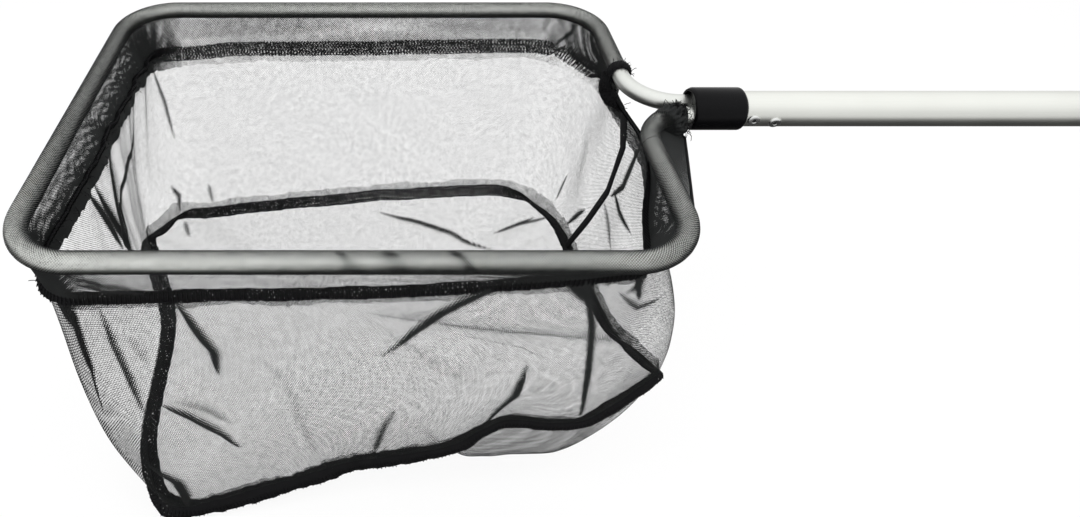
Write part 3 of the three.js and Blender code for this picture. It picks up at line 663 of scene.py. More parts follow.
def grid_sheet(name: str, columns: int, rows: int, place: Place, weave: Place,
               density: Optional[Place] = None, closed: bool = False) -> Piece:
    """Shapes a grid into a sheet or a closed sweep.

    Args:
        name: the piece's name.
        columns: the faces along the first share.
        rows: the faces along the second share.
        place: gives the points for arrays of the two shares, each from 0 to 1.
        weave: gives the cloth coordinates there, in millimetres.
        density: gives how close the threads stand there, 1 for flat cloth.
        closed: True to join edges that meet and turn the faces outwards.

    Returns:
        The new object.
    """
    bm = bmesh.new()
    bmesh.ops.create_grid(bm, x_segments=columns, y_segments=rows, size=0.5)
    bm.verts.index_update()
    shares = np.array([vert.co[:2] for vert in bm.verts]) + 0.5
    first, second = np.round(shares[:, 0], 7), np.round(shares[:, 1], 7)
    points = place(first, second)
    cloth = weave(first, second)
    close = np.ones(len(first)) if density is None else density(first, second)
    uv_layer = bm.loops.layers.uv.new("weave")
    close_layer = bm.verts.layers.float.new("closeness")
    for vert, point, value in zip(bm.verts, points, close):
        vert.co = point
        vert[close_layer] = value
    for face in bm.faces:
        for loop in face.loops:
            loop[uv_layer].uv = cloth[loop.vert.index]
    bmesh.ops.remove_doubles(bm, verts=bm.verts, dist=1e-7)
    return finished(name, bm, crease_degrees=75.0, turn_out=closed)


def unit(vectors: Array) -> Array:
    """Returns the vectors at length 1."""
    return vectors / np.linalg.norm(vectors, axis=-1, keepdims=True)


def times(lengths: Array, directions: Array) -> Array:
    """Returns directions at the given lengths, one for each."""
    return directions * np.asarray(lengths)[:, None]


def nearest(share: Array, steps: int) -> Array:
    """Returns the steps of a path at shares of its way, from 0 to 1."""
    return np.rint(share * steps).astype(int)


def distances(path: Array) -> Array:
    """Returns how far along a path each of its points lies."""
    return np.concatenate([[0.0], np.cumsum(np.linalg.norm(np.diff(path, axis=0), axis=1))])


def read_along(at: Array, known: Array, points: Array) -> Array:
    """Reads points between known ones.

    Args:
        at: where to read, as measures along the path.
        known: the measure at each known point.
        points: the known points.

    Returns:
        One point for each place.
    """
    return np.stack([np.interp(at, known, points[:, axis]) for axis in range(3)], axis=-1)


def hump(place: Array, middle: float, reach: float | Array, power: int = 2) -> Array:
    """Returns a smooth hump of height 1, with flatter top and steeper sides for a higher power."""
    return np.exp(-((place - middle) / reach) ** power)


def sweep(name: str, path: Array, up: Array, half_out: object, half_side: object,
          sides: int = 6, closed_path: bool = False,
          closeness: Optional[Array] = None) -> Piece:
    """Carries an oval section along a path.

    Args:
        name: the piece's name.
        path: the points of the path.
        up: a direction for each point, roughly square to the path.
        half_out: half the section's size along that direction, one number or one for each point.
        half_side: half its size across it, likewise.
        sides: the sides of the section.
        closed_path: True where the path ends at its start.
        closeness: how close the threads stand at each point.

    Returns:
        The new object.
    """
    ahead = np.gradient(path, axis=0)
    if closed_path:
        ahead[0] = ahead[-1] = path[1] - path[-2]
    ahead = unit(ahead)
    side = unit(np.cross(ahead, up))
    out = np.cross(side, ahead)
    steps = len(path) - 1
    thick, wide = (np.broadcast_to(half, len(path)) for half in (half_out, half_side))
    girth = math.pi * float(np.mean(thick + wide))

    def place(along: Array, turn: Array) -> Array:
        """Gives the points of the swept section."""
        index = nearest(along, steps)
        angle = turn * math.tau
        return (path[index] + times(thick[index] * np.cos(angle), out[index])
                + times(wide[index] * np.sin(angle), side[index]))

    def density(along: Array, turn: Array) -> Array:
        """Gives how close the threads stand."""
        return np.ones(len(along)) if closeness is None else closeness[nearest(along, steps)]

    weave = flat_weave(distances(path)[-1], girth)
    made = grid_sheet(name, steps, sides, place, weave, density, closed=True)
    if not closed_path:
        bm = bmesh.new()
        bm.from_mesh(made.data)
        bmesh.ops.holes_fill(bm, edges=bm.edges, sides=sides)
        bm.to_mesh(made.data)
        bm.free()
    return made


# The bag's shape

@dataclass(frozen=True)
class HoopSizes:
    """Sizes of the bent tube, between tube centres, and its middle along the handle."""

    centre_x: float
    length: float = 376 * MM
    width: float = 284 * MM
    corner: float = 38 * MM
    tube: float = 12 * MM
    leg_bend: float = 33 * MM
    leg_spacing: float = 13.4 * MM
    leg_end: float = 59 * MM

    @property
    def side(self) -> float:
        """Half the length."""
        return self.length / 2

    @property
    def front(self) -> float:
        """Half the width."""
        return self.width / 2

    @property
    def gap(self) -> float:
        """Where the tube starts to turn out to the handle, from the middle."""
        return self.leg_spacing / 2 + self.leg_bend

    @classmethod
    def from_frame(cls) -> "HoopSizes":
        """Finds the hoop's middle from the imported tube."""
        low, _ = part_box("hoop_tube")
        return cls(centre_x=low[0] + (cls.length + cls.tube) / 2)


def round_spline(knots: Sequence[Sequence[float]], place: Array) -> Array:
    """Reads a smooth closed curve that passes through knots.

    Args:
        knots: rows of a share of the way round and the values there, in order from 0.
        place: shares of the way round to read it at.

    Returns:
        One row of values for each place.
    """
    table = np.array(knots, dtype=float)
    at, values = table[:, 0], table[:, 1:]
    wrapped = np.mod(place, 1.0)
    index = np.searchsorted(at, wrapped, side="right") - 1

    def knot(offset: int) -> tuple[Array, Array]:
        """Gives a knot counted from the one before each place."""
        turns, item = np.divmod(index + offset, len(at))
        return at[item] + turns, values[item]

    (p0, v0), (p1, v1), (p2, v2), (p3, v3) = (knot(offset) for offset in (-1, 0, 1, 2))
    span = (p2 - p1)[:, None]
    share = ((wrapped - p1) / (p2 - p1))[:, None]
    leave = (v2 - v0) / (p2 - p0)[:, None] * span
    arrive = (v3 - v1) / (p3 - p1)[:, None] * span
    square, cube = share ** 2, share ** 3
    return ((2 * cube - 3 * square + 1) * v1 + (cube - 2 * square + share) * leave
            + (3 * square - 2 * cube) * v2 + (cube - square) * arrive)


def ripple(place: Array, waves: float, seed: int) -> Array:
    """Gives an uneven wave between about -1 and 1 that closes on itself.

    Args:
        place: shares of the way round to read it at.
        waves: how many of its longest waves go round, about.
        seed: which of many waves it is.

    Returns:
        The wave's values.
    """
    chance = np.random.default_rng(seed)
    total = np.zeros_like(place, dtype=float)
    for octave in range(4):
        count = round(waves * 1.7 ** octave * chance.uniform(0.85, 1.15))
        total += np.sin(math.tau * count * place + chance.uniform(0, math.tau)) / 1.5 ** octave
    return total / 2.4


@dataclass
class BagShape:
    """How the bag hangs, from the hoop by way of the rim seam to the seam of the bottom panel.

    Places round the bag are lengths along the hoop from where the rear tube end turns out,
    going to the rear, the left, the front and back to the handle. The knots below give them as
    shares of the whole way round. Places down the wall are shares of the way from the rim seam
    to the bottom seam.
    """

    hoop: HoopSizes
    arc_steps: int = 24
    floor_sag: float = 14 * MM
    # Place round the bag, how far inside the tube the rim seam hangs, and how far below it
    rim_knots: Sequence[Sequence[float]] = (
        (0, -2, 22), (0.032, -3, 28), (0.058, 6, 34), (0.08, 7, 33), (0.11, 4, 31), (0.207, 3, 34),
        (0.3, 3, 35), (0.335, 5, 38), (0.363, 10, 33), (0.406, 14, 26), (0.46, 15, 21),
        (0.52, 15, 19), (0.555, 9, 23), (0.575, 3, 30), (0.59, 1, 30), (0.606, 0, 28),
        (0.65, 0, 26), (0.717, 0, 24), (0.797, 0, 16), (0.837, 4, 13.5), (0.865, 15, 18), (0.889, 15, 20),
        (0.936, -3, 20), (0.968, -7, 22),
    )
    # Place round the bag, the bottom seam's shares of the hoop's half length and width, and its depth
    floor_knots: Sequence[Sequence[float]] = (
        (0, 0.872, 0.225, 147), (0.04, 0.84, 0.352, 147), (0.062, 0.798, 0.451, 148),
        (0.08, 0.739, 0.549, 147), (0.104, 0.596, 0.577, 144), (0.22, -0.016, 0.577, 152),
        (0.338, -0.745, 0.577, 170), (0.358, -0.851, 0.535, 168), (0.384, -0.92, 0.401, 167),
        (0.41, -0.965, 0.275, 164), (0.44, -0.9, 0.08, 166), (0.486, -0.8, -0.26, 180),
        (0.55, -0.793, -0.859, 202), (0.563, -0.745, -1.042, 202), (0.578, -0.68, -1.155, 210),
        (0.606, -0.505, -1.162, 208), (0.645, -0.255, -1.12, 194), (0.685, -0.027, -1.07, 182),
        (0.725, 0.191, -1.07, 170), (0.752, 0.335, -1.07, 159), (0.772, 0.426, -1.056, 145),
        (0.79, 0.516, -1.035, 140), (0.833, 0.761, -1.028, 142), (0.848, 0.878, -1, 126),
        (0.862, 0.984, -0.979, 103), (0.875, 0.973, -0.915, 106), (0.889, 0.936, -0.789, 111),
        (0.912, 0.926, -0.599, 128), (0.936, 0.915, -0.366, 138), (0.968, 0.899, -0.056, 146),
    )
    # Place round the bag, how far the wall bellies out, and how low: above 1 for low
    belly_knots: Sequence[Sequence[float]] = (
        (0, 0, 1.3), (0.08, 4, 1.3), (0.207, 6, 1.3), (0.335, 4, 1.3), (0.414, 4, 1.3),
        (0.494, 8, 1.3), (0.558, 9, 1.3), (0.586, 10, 1.3), (0.638, 9, 1.3), (0.717, 12, 1.3),
        (0.797, 12, 1.3), (0.845, 11, 1.1), (0.869, 13, 0.65), (0.889, 12, 0.6), (0.912, 7, 0.7),
        (0.94, 0, 1.1), (0.97, 0, 1.3),
    )
    # Place round the bag, and how far the bottom panel bulges below its seam
    bulge_knots: Sequence[Sequence[float]] = (
        (0, 0), (0.3, 0), (0.6, 0), (0.71, 0), (0.735, 0), (0.755, 13), (0.772, 27), (0.79, 33),
        (0.812, 30), (0.833, 30), (0.848, 33), (0.862, 30), (0.88, 13), (0.897, 0), (0.92, 0),
    )
    # Where the bulge starts between the middle and the seam, and how far it leans to the front
    bulge_start: float = 0.6
    bulge_lean: float = 0.5
    # The middle and the half length of the rim seam's bunched stretch, and its waves in and down
    bunched_place: float = 0.565
    bunched_reach: float = 0.105
    bunched_in: float = 2.2 * MM
    bunched_down: float = 1.6 * MM
    # The plain waves of the rim seam and the bottom seam
    rim_wave: float = 0.7 * MM
    bottom_wave: float = 1.2 * MM
    # The bottom panel's middle: shares of the hoop's half length and half width, and depth
    floor_middle: tuple[float, float, float] = (0.01, -0.22, 158)
    around: Array = field(init=False)
    top_knots: Array = field(init=False)

    def __post_init__(self) -> None:
        """Works out the hoop's loop."""
        hoop = self.hoop
        x, side, front, gap = hoop.centre_x, hoop.side, hoop.front, hoop.gap
        round_x, round_y = side - hoop.corner, front - hoop.corner
        points = [np.array([[x + side, gap]])]
        for start, sign_x, sign_y in ((0, 1, 1), (90, -1, 1), (180, -1, -1), (270, 1, -1)):
            angle = np.radians(np.linspace(start, start + 90, self.arc_steps + 1))
            points.append(np.stack([x + sign_x * round_x + hoop.corner * np.cos(angle),
                                    sign_y * round_y + hoop.corner * np.sin(angle)], axis=1))
        points.append(np.array([[x + side, -gap], [x + side, gap]]))
        flat = np.concatenate(points)
        self.top_knots = np.column_stack([flat, np.zeros(len(flat))])
        self.around = distances(self.top_knots)

    @property
    def girth(self) -> float:
        """The length of the hoop's loop."""
        return float(self.around[-1])

    def wave(self, place: Array, length: float, seed: int) -> Array:
        """Gives an uneven wave round the bag, by its longest wavelength."""
        return ripple(place / self.girth, self.girth / length, seed)

    def top(self, place: Array) -> Array:
        """Points of the hoop's centre line."""
        return read_along(np.mod(place, self.girth), self.around, self.top_knots)

    def ahead(self, place: Array) -> Array:
        """Directions along the hoop."""
        return unit(self.top(place + 2 * MM) - self.top(place - 2 * MM))

    def inward(self, place: Array) -> Array:
        """Directions from the hoop towards its middle."""
        return np.cross(UP, self.ahead(place))

    def rim(self, place: Array) -> Array:
        """Points of the rim seam, which waves a little, and more where it is bunched at the left."""
        inside, below = round_spline(self.rim_knots, place / self.girth).T * MM
        bunched = hump(np.mod(place, self.girth), self.bunched_place, self.bunched_reach, 4)
        inside = inside + self.bunched_in * bunched * self.wave(place, 0.07, 7)
        below = below + self.rim_wave * self.wave(place, 0.14, 3)
        below = below + self.bunched_down * bunched * self.wave(place, 0.05, 9)
        return self.top(place) + times(inside, self.inward(place)) - times(below, UP)

    def across_hoop(self, shares: Array) -> Array:
        """Points from shares of the hoop's half length and half width, and a depth."""
        scale = np.array([self.hoop.side, self.hoop.front, -MM])
        return shares * scale + np.array([self.hoop.centre_x, 0.0, 0.0])

    def bottom(self, place: Array) -> Array:
        """Points of the bottom seam, which waves a little."""
        points = self.across_hoop(round_spline(self.floor_knots, place / self.girth))
        return points + times(self.bottom_wave * self.wave(place, 0.11, 5), UP)

    def outward(self, place: Array) -> Array:
        """Directions out of the wall."""
        down = unit(self.bottom(place) - self.rim(place))
        return unit(np.cross(down, self.ahead(place)))

    def wall(self, place: Array, share: Array) -> Array:
        """Points of the hanging wall, before its folds."""
        rim, bottom = self.rim(place), self.bottom(place)
        belly, low = round_spline(self.belly_knots, place / self.girth).T
        swell = np.sin(math.pi * np.clip(share, 0, 1) ** low) * belly * MM
        return rim + times(share, bottom - rim) + times(swell, self.outward(place))

    def floor(self, place: Array, share: Array) -> Array:
        """Points of the bottom panel, by the share of the way from its middle to its seam."""
        middle = self.across_hoop(np.array(self.floor_middle))
        points = middle + times(share, self.bottom(place) - middle)
        near = np.clip((share - self.bulge_start) / (1 - self.bulge_start), 0, 1)
        bulge = round_spline(self.bulge_knots, place / self.girth)[:, 0] * MM
        bulge = np.maximum(bulge, 0) * np.sin(math.pi * near ** 1.5)
        points[:, 2] -= self.floor_sag * (1 - share ** 2) + bulge
        points[:, 1] -= self.bulge_lean * bulge
        return points


# Folds

@dataclass(frozen=True)
class Fold:
    """A crease in the cloth, along a path of places on it.

    The threads stand closer along it, sharply on one side and softly on the other, and it may
    stand out of the cloth. It thins out at its ends, unless its start is blunt.
    """

    path: tuple[tuple[float, float], ...]
    width: float
    closer: float
    lift: float = 0.0
    blunt: bool = False
    sharp_side: int = 1

    def strength(self, first: Array, second: Array, period: float = 0.0) -> Array:
        """Gives how strong the fold is at points of the cloth, from 0 to 1.

        Args:
            first: the points' first coordinates, in metres.
            second: their second coordinates, in metres.
            period: the length after which the first coordinate repeats, or 0.

        Returns:
            The strengths.
        """
        origin = self.path[0]
        across, down = first - origin[0], second - origin[1]
        if period:
            across = np.mod(across + period / 2, period) - period / 2
        near = np.full(len(first), 1.0)
        along, side = np.zeros(len(first)), np.zeros(len(first))
        knots = [(a - origin[0], b - origin[1]) for a, b in self.path]
        if period:
            knots = [((a + period / 2) % period - period / 2, b) for a, b in knots]
        lengths = [math.dist(a, b) for a, b in zip(knots, knots[1:])]
        done = 0.0
        for (ax, ay), (bx, by), length in zip(knots, knots[1:], lengths):
            share = np.clip(((across - ax) * (bx - ax) + (down - ay) * (by - ay)) / length ** 2, 0, 1)
            gap = np.hypot(across - ax - share * (bx - ax), down - ay - share * (by - ay))
            closer = gap < near
            near = np.where(closer, gap, near)
            side = np.where(closer, (bx - ax) * (down - ay) - (by - ay) * (across - ax), side)
            along = np.where(closer, (done + share * length) / sum(lengths), along)
            done += length
        taper = np.sin(math.pi * (0.08 + 0.84 * along)) ** 0.8
        if self.blunt:
            taper = np.where(along < 0.3, 1.0, np.sin(math.pi / 2 * (1.08 - along) / 0.78) ** 0.9)
        spread = self.width * np.where(side * self.sharp_side > 0, 0.6, 1.1)
        return np.exp(-(near / (spread * taper)) ** 2) * np.clip(taper * 1.3, 0, 1)


def folded(folds: Sequence[Fold], first: Array, second: Array,
           period: float = 0.0) -> tuple[Array, Array]:
    """Adds up folds at points of a cloth.

    Args:
        folds: the folds.
        first: the points' first coordinates.
        second: their second coordinates.
        period: the length after which the first coordinate repeats, or 0.

    Returns:
        How much closer the threads stand, and how far the cloth stands out.
    """
    closer = np.zeros(len(first))
    lift = np.zeros(len(first))
    for fold in folds:
        strength = fold.strength(first, second, period)
        closer += 0.8 * fold.closer * strength
        lift += fold.lift * strength
    return closer, lift


# Pieces of the frame and handle

@dataclass
class HoopFrame:
    """The bent hoop tube."""

    sizes: HoopSizes
    sides: int = 40
    bend_steps: int = 18

    def build(self) -> None:
        """Bends the tube from one end to the other."""
        hoop = self.sizes
        x, side, front, corner = hoop.centre_x, hoop.side, hoop.front, hoop.corner
        leg, bend, gap = hoop.leg_spacing / 2, hoop.leg_bend, hoop.gap
        end = x + side + hoop.leg_end
        bm = bmesh.new()
        turn = Matrix.Translation((end, -leg, 0)) @ Matrix.Rotation(math.pi / 2, 4, "Y")
        bmesh.ops.create_circle(bm, cap_ends=True, segments=self.sides, radius=hoop.tube / 2, matrix=turn)
        ring = list(bm.edges)
        out, right, left = x + side + bend, x + side - corner, x - side + corner
        # Each straight run, then the middle and the sense of the bend after it
        for move, centre, sign in (
                ((out - end, 0, 0), (out, -gap), 1),
                ((0, gap - front + corner, 0), (right, corner - front), -1),
                ((2 * (corner - side), 0, 0), (left, corner - front), -1),
                ((0, 2 * (front - corner), 0), (left, front - corner), -1),
                ((2 * (side - corner), 0, 0), (right, front - corner), -1),
                ((0, gap - front + corner, 0), (out, gap), 1)):
            ring = self.bend(bm, carried(bm, ring, move), centre, sign)
        ring = carried(bm, ring, (end - out, 0, 0))
        bmesh.ops.edgeloop_fill(bm, edges=ring)
        piece = finished("hoop_frame", bm)
        dressed(piece, HOOP_METAL, Slot.HOOP, Body.NET_HEAD, "hoop_tube")

    def bend(self, bm: Mesh, ring: list, centre: Sequence[float], sign: int) -> list:
        """Carries the tube's end round a quarter turn.

        Args:
            bm: the mesh.
            ring: the edges of the tube's end.
            centre: the middle of the bend.
            sign: 1 to turn anticlockwise seen from above.

        Returns:
            The edges of the new end.
        """
        made = bmesh.ops.spin(bm, geom=ring, cent=(*centre, 0), axis=(0, 0, 1), dvec=(0, 0, 0),
                              angle=sign * math.pi / 2, steps=self.bend_steps, use_duplicate=False)
        return [item for item in made["geom_last"] if isinstance(item, bmesh.types.BMEdge)]


@dataclass
class Collar:
    """The black collar that joins the hoop to the handle, and its screws underneath."""

    length: float = 35 * MM
    radius: float = 14.5 * MM
    edge: float = 2.6 * MM
    rim: float = 1.6 * MM
    recess: float = 2.5 * MM
    spigot: float = 10.7 * MM
    spigot_length: float = 40 * MM
    screw_radius: float = 2.8 * MM
    screw_height: float = 1.8 * MM
    screw_shank: float = 1.5 * MM
    screw_edge: float = 0.7 * MM
    # Sizes of the thin dark cross on each screw head, which is painted shade standing in for the cross
    # recess.
    painted_cross_size: tuple[float, float, float] = (2.6 * MM, 0.55 * MM, 0.1 * MM)
    painted_cross_edge: float = 0.02 * MM

    def build(self) -> None:
        """Builds the collar and the screws."""
        low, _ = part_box("collar")
        face, rear = low[0], low[0] + self.length
        inner = self.radius - self.rim
        outline = [
            (face + self.recess, 0.0),
            *quarter(face + self.recess - 0.8 * MM, inner - 0.8 * MM, 0.8 * MM, 0, 90, 3),
            (face + 0.5 * MM, inner),
            (face, inner + 0.5 * MM),
            *quarter(face + self.edge, self.radius - self.edge, self.edge, 180, 90),
            *quarter(rear - self.edge, self.radius - self.edge, self.edge, 90, 0),
            (rear, self.spigot),
            (rear + self.spigot_length, self.spigot),
            (rear + self.spigot_length, 0.0),
        ]
        bm = revolved(outline, segments=96, closed=False)
        dressed(finished("collar_moulding", bm), COLLAR_PLASTIC, Slot.COLLAR, Body.NET_HEAD, "collar")
        for side in ("front", "rear"):
            self.screw(f"leg_screw_{side}")

    def screw(self, node: str) -> None:
        """Builds a pan-head screw where its solid is, with a flat dark cross on its head as painted shade
        of a cross recess.

        Args:
            node: the solid's name.
        """
        low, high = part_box(node)
        radius, head, soft, shank = self.screw_radius, self.screw_height, self.screw_edge, self.screw_shank
        tip = high[2] - low[2]
        outline = [(0.0, 0.0), *quarter(soft, radius - soft, soft, 180, 90, 4), (head, radius),
                   (head, shank), (tip - shank, shank), (tip, 0.0)]
        bm = revolved(outline, segments=32, closed=False)
        place = Vector(((low[0] + high[0]) / 2, (low[1] + high[1]) / 2, low[2]))
        turn = Matrix.Translation(place) @ Matrix.Rotation(-math.pi / 2, 4, "Y")
        bmesh.ops.transform(bm, matrix=turn, verts=bm.verts)
        piece = finished(f"{node}_head", bm)
        dressed(piece, SCREW_METAL, Slot.SCREW, Body.NET_HEAD, node)
        # Painted shade: two thin dark slabs on the head's face stand in for the shaded hollow of a cross
        # recess.
        for angle in (0.0, math.pi / 2):
            slot = bmesh.new()
            middle = place - Vector((0, 0, self.painted_cross_edge))
            box = Matrix.Translation(middle) @ Matrix.Rotation(angle, 4, "Z")
            size = Matrix.Diagonal((*self.painted_cross_size, 1.0))
            bmesh.ops.create_cube(slot, size=1.0, matrix=box @ size)
            bmesh.ops.bevel(slot, geom=slot.edges[:], offset=self.painted_cross_edge, segments=1, profile=0.5,
                            affect="EDGES", material=-1)
            painted_recess_shade = finished(f"{node}_recess_{round(math.degrees(angle))}", slot)
            dressed(painted_recess_shade, LOCK_PLASTIC, Slot.SCREW, Body.NET_HEAD)


@dataclass
class Handle:
    """The two handle tubes and the rivets."""

    radius: float = 12 * MM
    wall: float = 1 * MM
    inner_radius: float = 10 * MM
    rivet_head: float = 4.1 * MM
    rivet_height: float = 1.5 * MM
    rivet_hole: float = 1.25 * MM
    rivet_angles: tuple[float, float] = (5.0, 14.0)

    def build(self) -> None:
        """Builds the tubes and the rivets."""
        self.tube("handle_tube", "handle_outer_tube", self.radius, Body.NET_HEAD)
        self.tube("inner_tube", "handle_inner_tube", self.inner_radius, Body.GRIP_END)
        for node, angle in zip(("rivet_front", "rivet_rear"), self.rivet_angles):
            self.rivet(node, math.radians(angle))

    def tube(self, node: str, name: str, radius: float, body: Body) -> None:
        """Builds a tube with softened ends.

        Args:
            node: the solid's name.
            name: the piece's name.
            radius: the outside radius.
            body: the body it moves with.
        """
        low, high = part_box(node)
        soft = 0.25 * MM
        bore = radius - self.wall
        outline = [(low[0], bore + soft), (low[0], radius - soft), (low[0] + soft, radius),
                   (high[0] - soft, radius), (high[0], radius - soft), (high[0], bore + soft),
                   (high[0] - soft, bore), (low[0] + soft, bore)]
        dressed(finished(name, revolved(outline, segments=96), 60.0), HANDLE_METAL, Slot.HANDLE, body, node)

    def rivet(self, node: str, angle: float) -> None:
        """Builds a blind rivet: a domed head round a hollow, with the broken stem inside, coloured near
        black as painted shade of the hollow.

        Args:
            node: the solid's name.
            angle: how far below the level of the handle it points.
        """
        low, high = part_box(node)
        head, hole, top = self.rivet_head, self.rivet_hole, self.radius + self.rivet_height
        seat = self.radius - 0.7 * MM
        outline = [
            (seat, 0.0), (seat, head), (self.radius + 0.35 * MM, head),
            *quarter(self.radius + 0.35 * MM, head - 1.1 * MM, 1.1 * MM, 90, 20, 6),
            *quarter(top - 0.4 * MM, hole + 0.4 * MM, 0.4 * MM, 0, -90, 4),
            (top - 2.1 * MM, hole), (top - 2.1 * MM, 0.0),
        ]
        stem = [(top - 2.0 * MM, hole), (top - 0.7 * MM, hole), (top - 0.9 * MM, hole * 0.4),
                (top - 0.5 * MM, 0.0)]
        out = Vector((0, -math.cos(angle), -math.sin(angle)))
        turn = Vector((1, 0, 0)).rotation_difference(out).to_matrix().to_4x4()
        middle = Matrix.Translation(((low[0] + high[0]) / 2, 0, 0))
        for name, line, finish, nodes in ((f"{node}_head", outline, RIVET_METAL, (node,)),
                                          (f"{node}_stem", stem, STEM_PAINTED_SHADE, ())):
            bm = revolved(line, segments=48, closed=False)
            bmesh.ops.transform(bm, matrix=middle @ turn, verts=bm.verts)
            dressed(finished(name, bm), finish, Slot.RIVET, Body.NET_HEAD, *nodes)


@dataclass
class TwistLock:
    """The lock at the end of the outer tube: a bush, a split collet and a fluted nut."""

    flutes: int = 24
    flute_depth: float = 0.9 * MM
    edge: float = 1.2 * MM
    # Radii of the bush: its seat on the outer tube, its thread, its cone and its bore
    seat: float = 12.2 * MM
    thread: float = 13.7 * MM
    cone_mouth: float = 12.7 * MM
    cone_end: float = 11.4 * MM
    bore: float = 10.3 * MM
    # Lengths of the seat and the cone
    seat_length: float = 22 * MM
    cone_length: float = 10 * MM
    # Where the two grooves of the bush start, their depth and their flat
    groove_starts: tuple[float, float] = (6 * MM, 10 * MM)
    groove_depth: float = 0.6 * MM
    groove_flat: float = 0.8 * MM
    # The bore of the nut round the thread, and the thickness of its end wall
    nut_bore: float = 14.3 * MM
    nut_wall: float = 6.5 * MM

    def build(self) -> None:
        """Builds the bush and the nut."""
        low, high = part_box("lock_bush")
        radius = high[2]
        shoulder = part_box("lock_nut")[0][0] - 0.5 * MM
        cone, depth = high[0] - self.cone_length, self.groove_depth
        outline = [(low[0], self.seat),
                   *quarter(low[0] + self.edge, radius - self.edge, self.edge, 180, 90)]
        for groove in self.groove_starts:
            start, flat = low[0] + groove, self.groove_flat
            outline += [(start, radius), (start + depth, radius - depth),
                        (start + depth + flat, radius - depth), (start + 2 * depth + flat, radius)]
        outline += [
            *quarter(shoulder - 0.5 * MM, radius - 0.5 * MM, 0.5 * MM, 90, 0, 3),
            (shoulder, self.thread), (high[0], self.thread), (high[0], self.cone_mouth),
            (cone, self.cone_end), (cone, self.bore), (low[0] + self.seat_length, self.bore),
            (low[0] + self.seat_length, self.seat),
        ]
        bush = finished("lock_bush_moulding", revolved(outline, segments=96))
        dressed(bush, LOCK_PLASTIC, Slot.LOCK, Body.NET_HEAD, "lock_bush")
        self.nut()

    def nut(self) -> None:
        """Builds the nut, with its flutes pressed into a spun body."""
        low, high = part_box("lock_nut")
        radius, wall = high[2], high[0] - self.nut_wall
        outline = [
            (low[0], self.nut_bore), *quarter(low[0] + self.edge, radius - self.edge, self.edge, 180, 90),
            *[(low[0] + share * (high[0] - low[0]), radius) for share in np.linspace(0.12, 0.88, 12)],
            *quarter(high[0] - self.edge, radius - self.edge, self.edge, 90, 0),
            (high[0], self.bore + 0.6 * MM), (high[0] - 0.6 * MM, self.bore), (wall, self.bore),
            (wall, self.nut_bore),
        ]
        bm = revolved(outline, segments=self.flutes * 8)
        for vert in bm.verts:
            out = math.hypot(vert.co.y, vert.co.z)
            along = (vert.co.x - low[0]) / (high[0] - low[0])
            if out > radius - 0.3 * MM and 0.15 < along < 0.85:
                turn = math.atan2(vert.co.z, vert.co.y) * self.flutes
                inset = self.flute_depth * (0.5 + 0.5 * math.cos(turn)) ** 0.6
                factor = (radius - inset) / out
                vert.co.y *= factor
                vert.co.z *= factor
        dressed(finished("lock_nut_fluted", bm), LOCK_PLASTIC, Slot.LOCK, Body.LOCK_NUT, "lock_nut")


@dataclass
class GripEnd:
    """The rubber grip and the end cap."""

    ribs: int = 26
    rib_depth: float = 0.7 * MM
    swell: float = 0.6 * MM
    bore: float = 10.3 * MM
    edge: float = 2.2 * MM
    plain_end: float = 8 * MM
    plug: float = 8.7 * MM
    cap_length: float = 4 * MM
    cap_edge: float = 1.2 * MM
    # The cap's shallow ring: how deep below the face, and the radius at each corner
    ring: tuple[tuple[float, float], ...] = (
        (0, 10 * MM), (0.5 * MM, 9.6 * MM), (0.5 * MM, 8.9 * MM), (0, 8.5 * MM))

    def build(self) -> None:
        """Builds the grip and the cap."""
        low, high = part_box("grip")
        radius, length, soft = high[2] - self.swell, high[0] - low[0], self.edge
        outline = [(low[0], self.bore), *quarter(low[0] + soft, radius - soft, soft, 180, 90)]
        start, end = low[0] + self.plain_end, high[0] - self.plain_end
        for along in np.linspace(start, end, self.ribs * 8 + 1):
            phase = (along - start) / (end - start) * self.ribs
            body = self.swell * math.sin(math.pi * (along - low[0]) / length)
            groove = self.rib_depth * (0.5 + 0.5 * math.cos(phase * math.tau)) ** 3
            outline.append((along, radius + body - groove))
        outline += [*quarter(high[0] - soft, radius - soft, soft, 90, 0), (high[0], self.bore)]
        grip = finished("grip_sleeve", revolved(outline, segments=96), 60.0)
        dressed(grip, GRIP_RUBBER, Slot.GRIP, Body.GRIP_END, "grip")
        self.cap()

    def cap(self) -> None:
        """Builds the end cap with a flat rear face and a shallow ring."""
        low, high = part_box("end_cap")
        radius, face, edge = high[2], high[0], self.cap_edge
        seat = face - self.cap_length
        outline = [
            (low[0], 0.0), (low[0], self.plug), (seat, self.plug), (seat, radius - 0.4 * MM),
            (seat + 0.4 * MM, radius), *quarter(face - edge, radius - edge, edge, 90, 0),
            *[(face - below, out) for below, out in self.ring], (face, 0.0),
        ]
        cap = finished("end_cap_moulding", revolved(outline, segments=96, closed=False))
        dressed(cap, LOCK_PLASTIC, Slot.LOCK, Body.GRIP_END, "end_cap")


# The bag

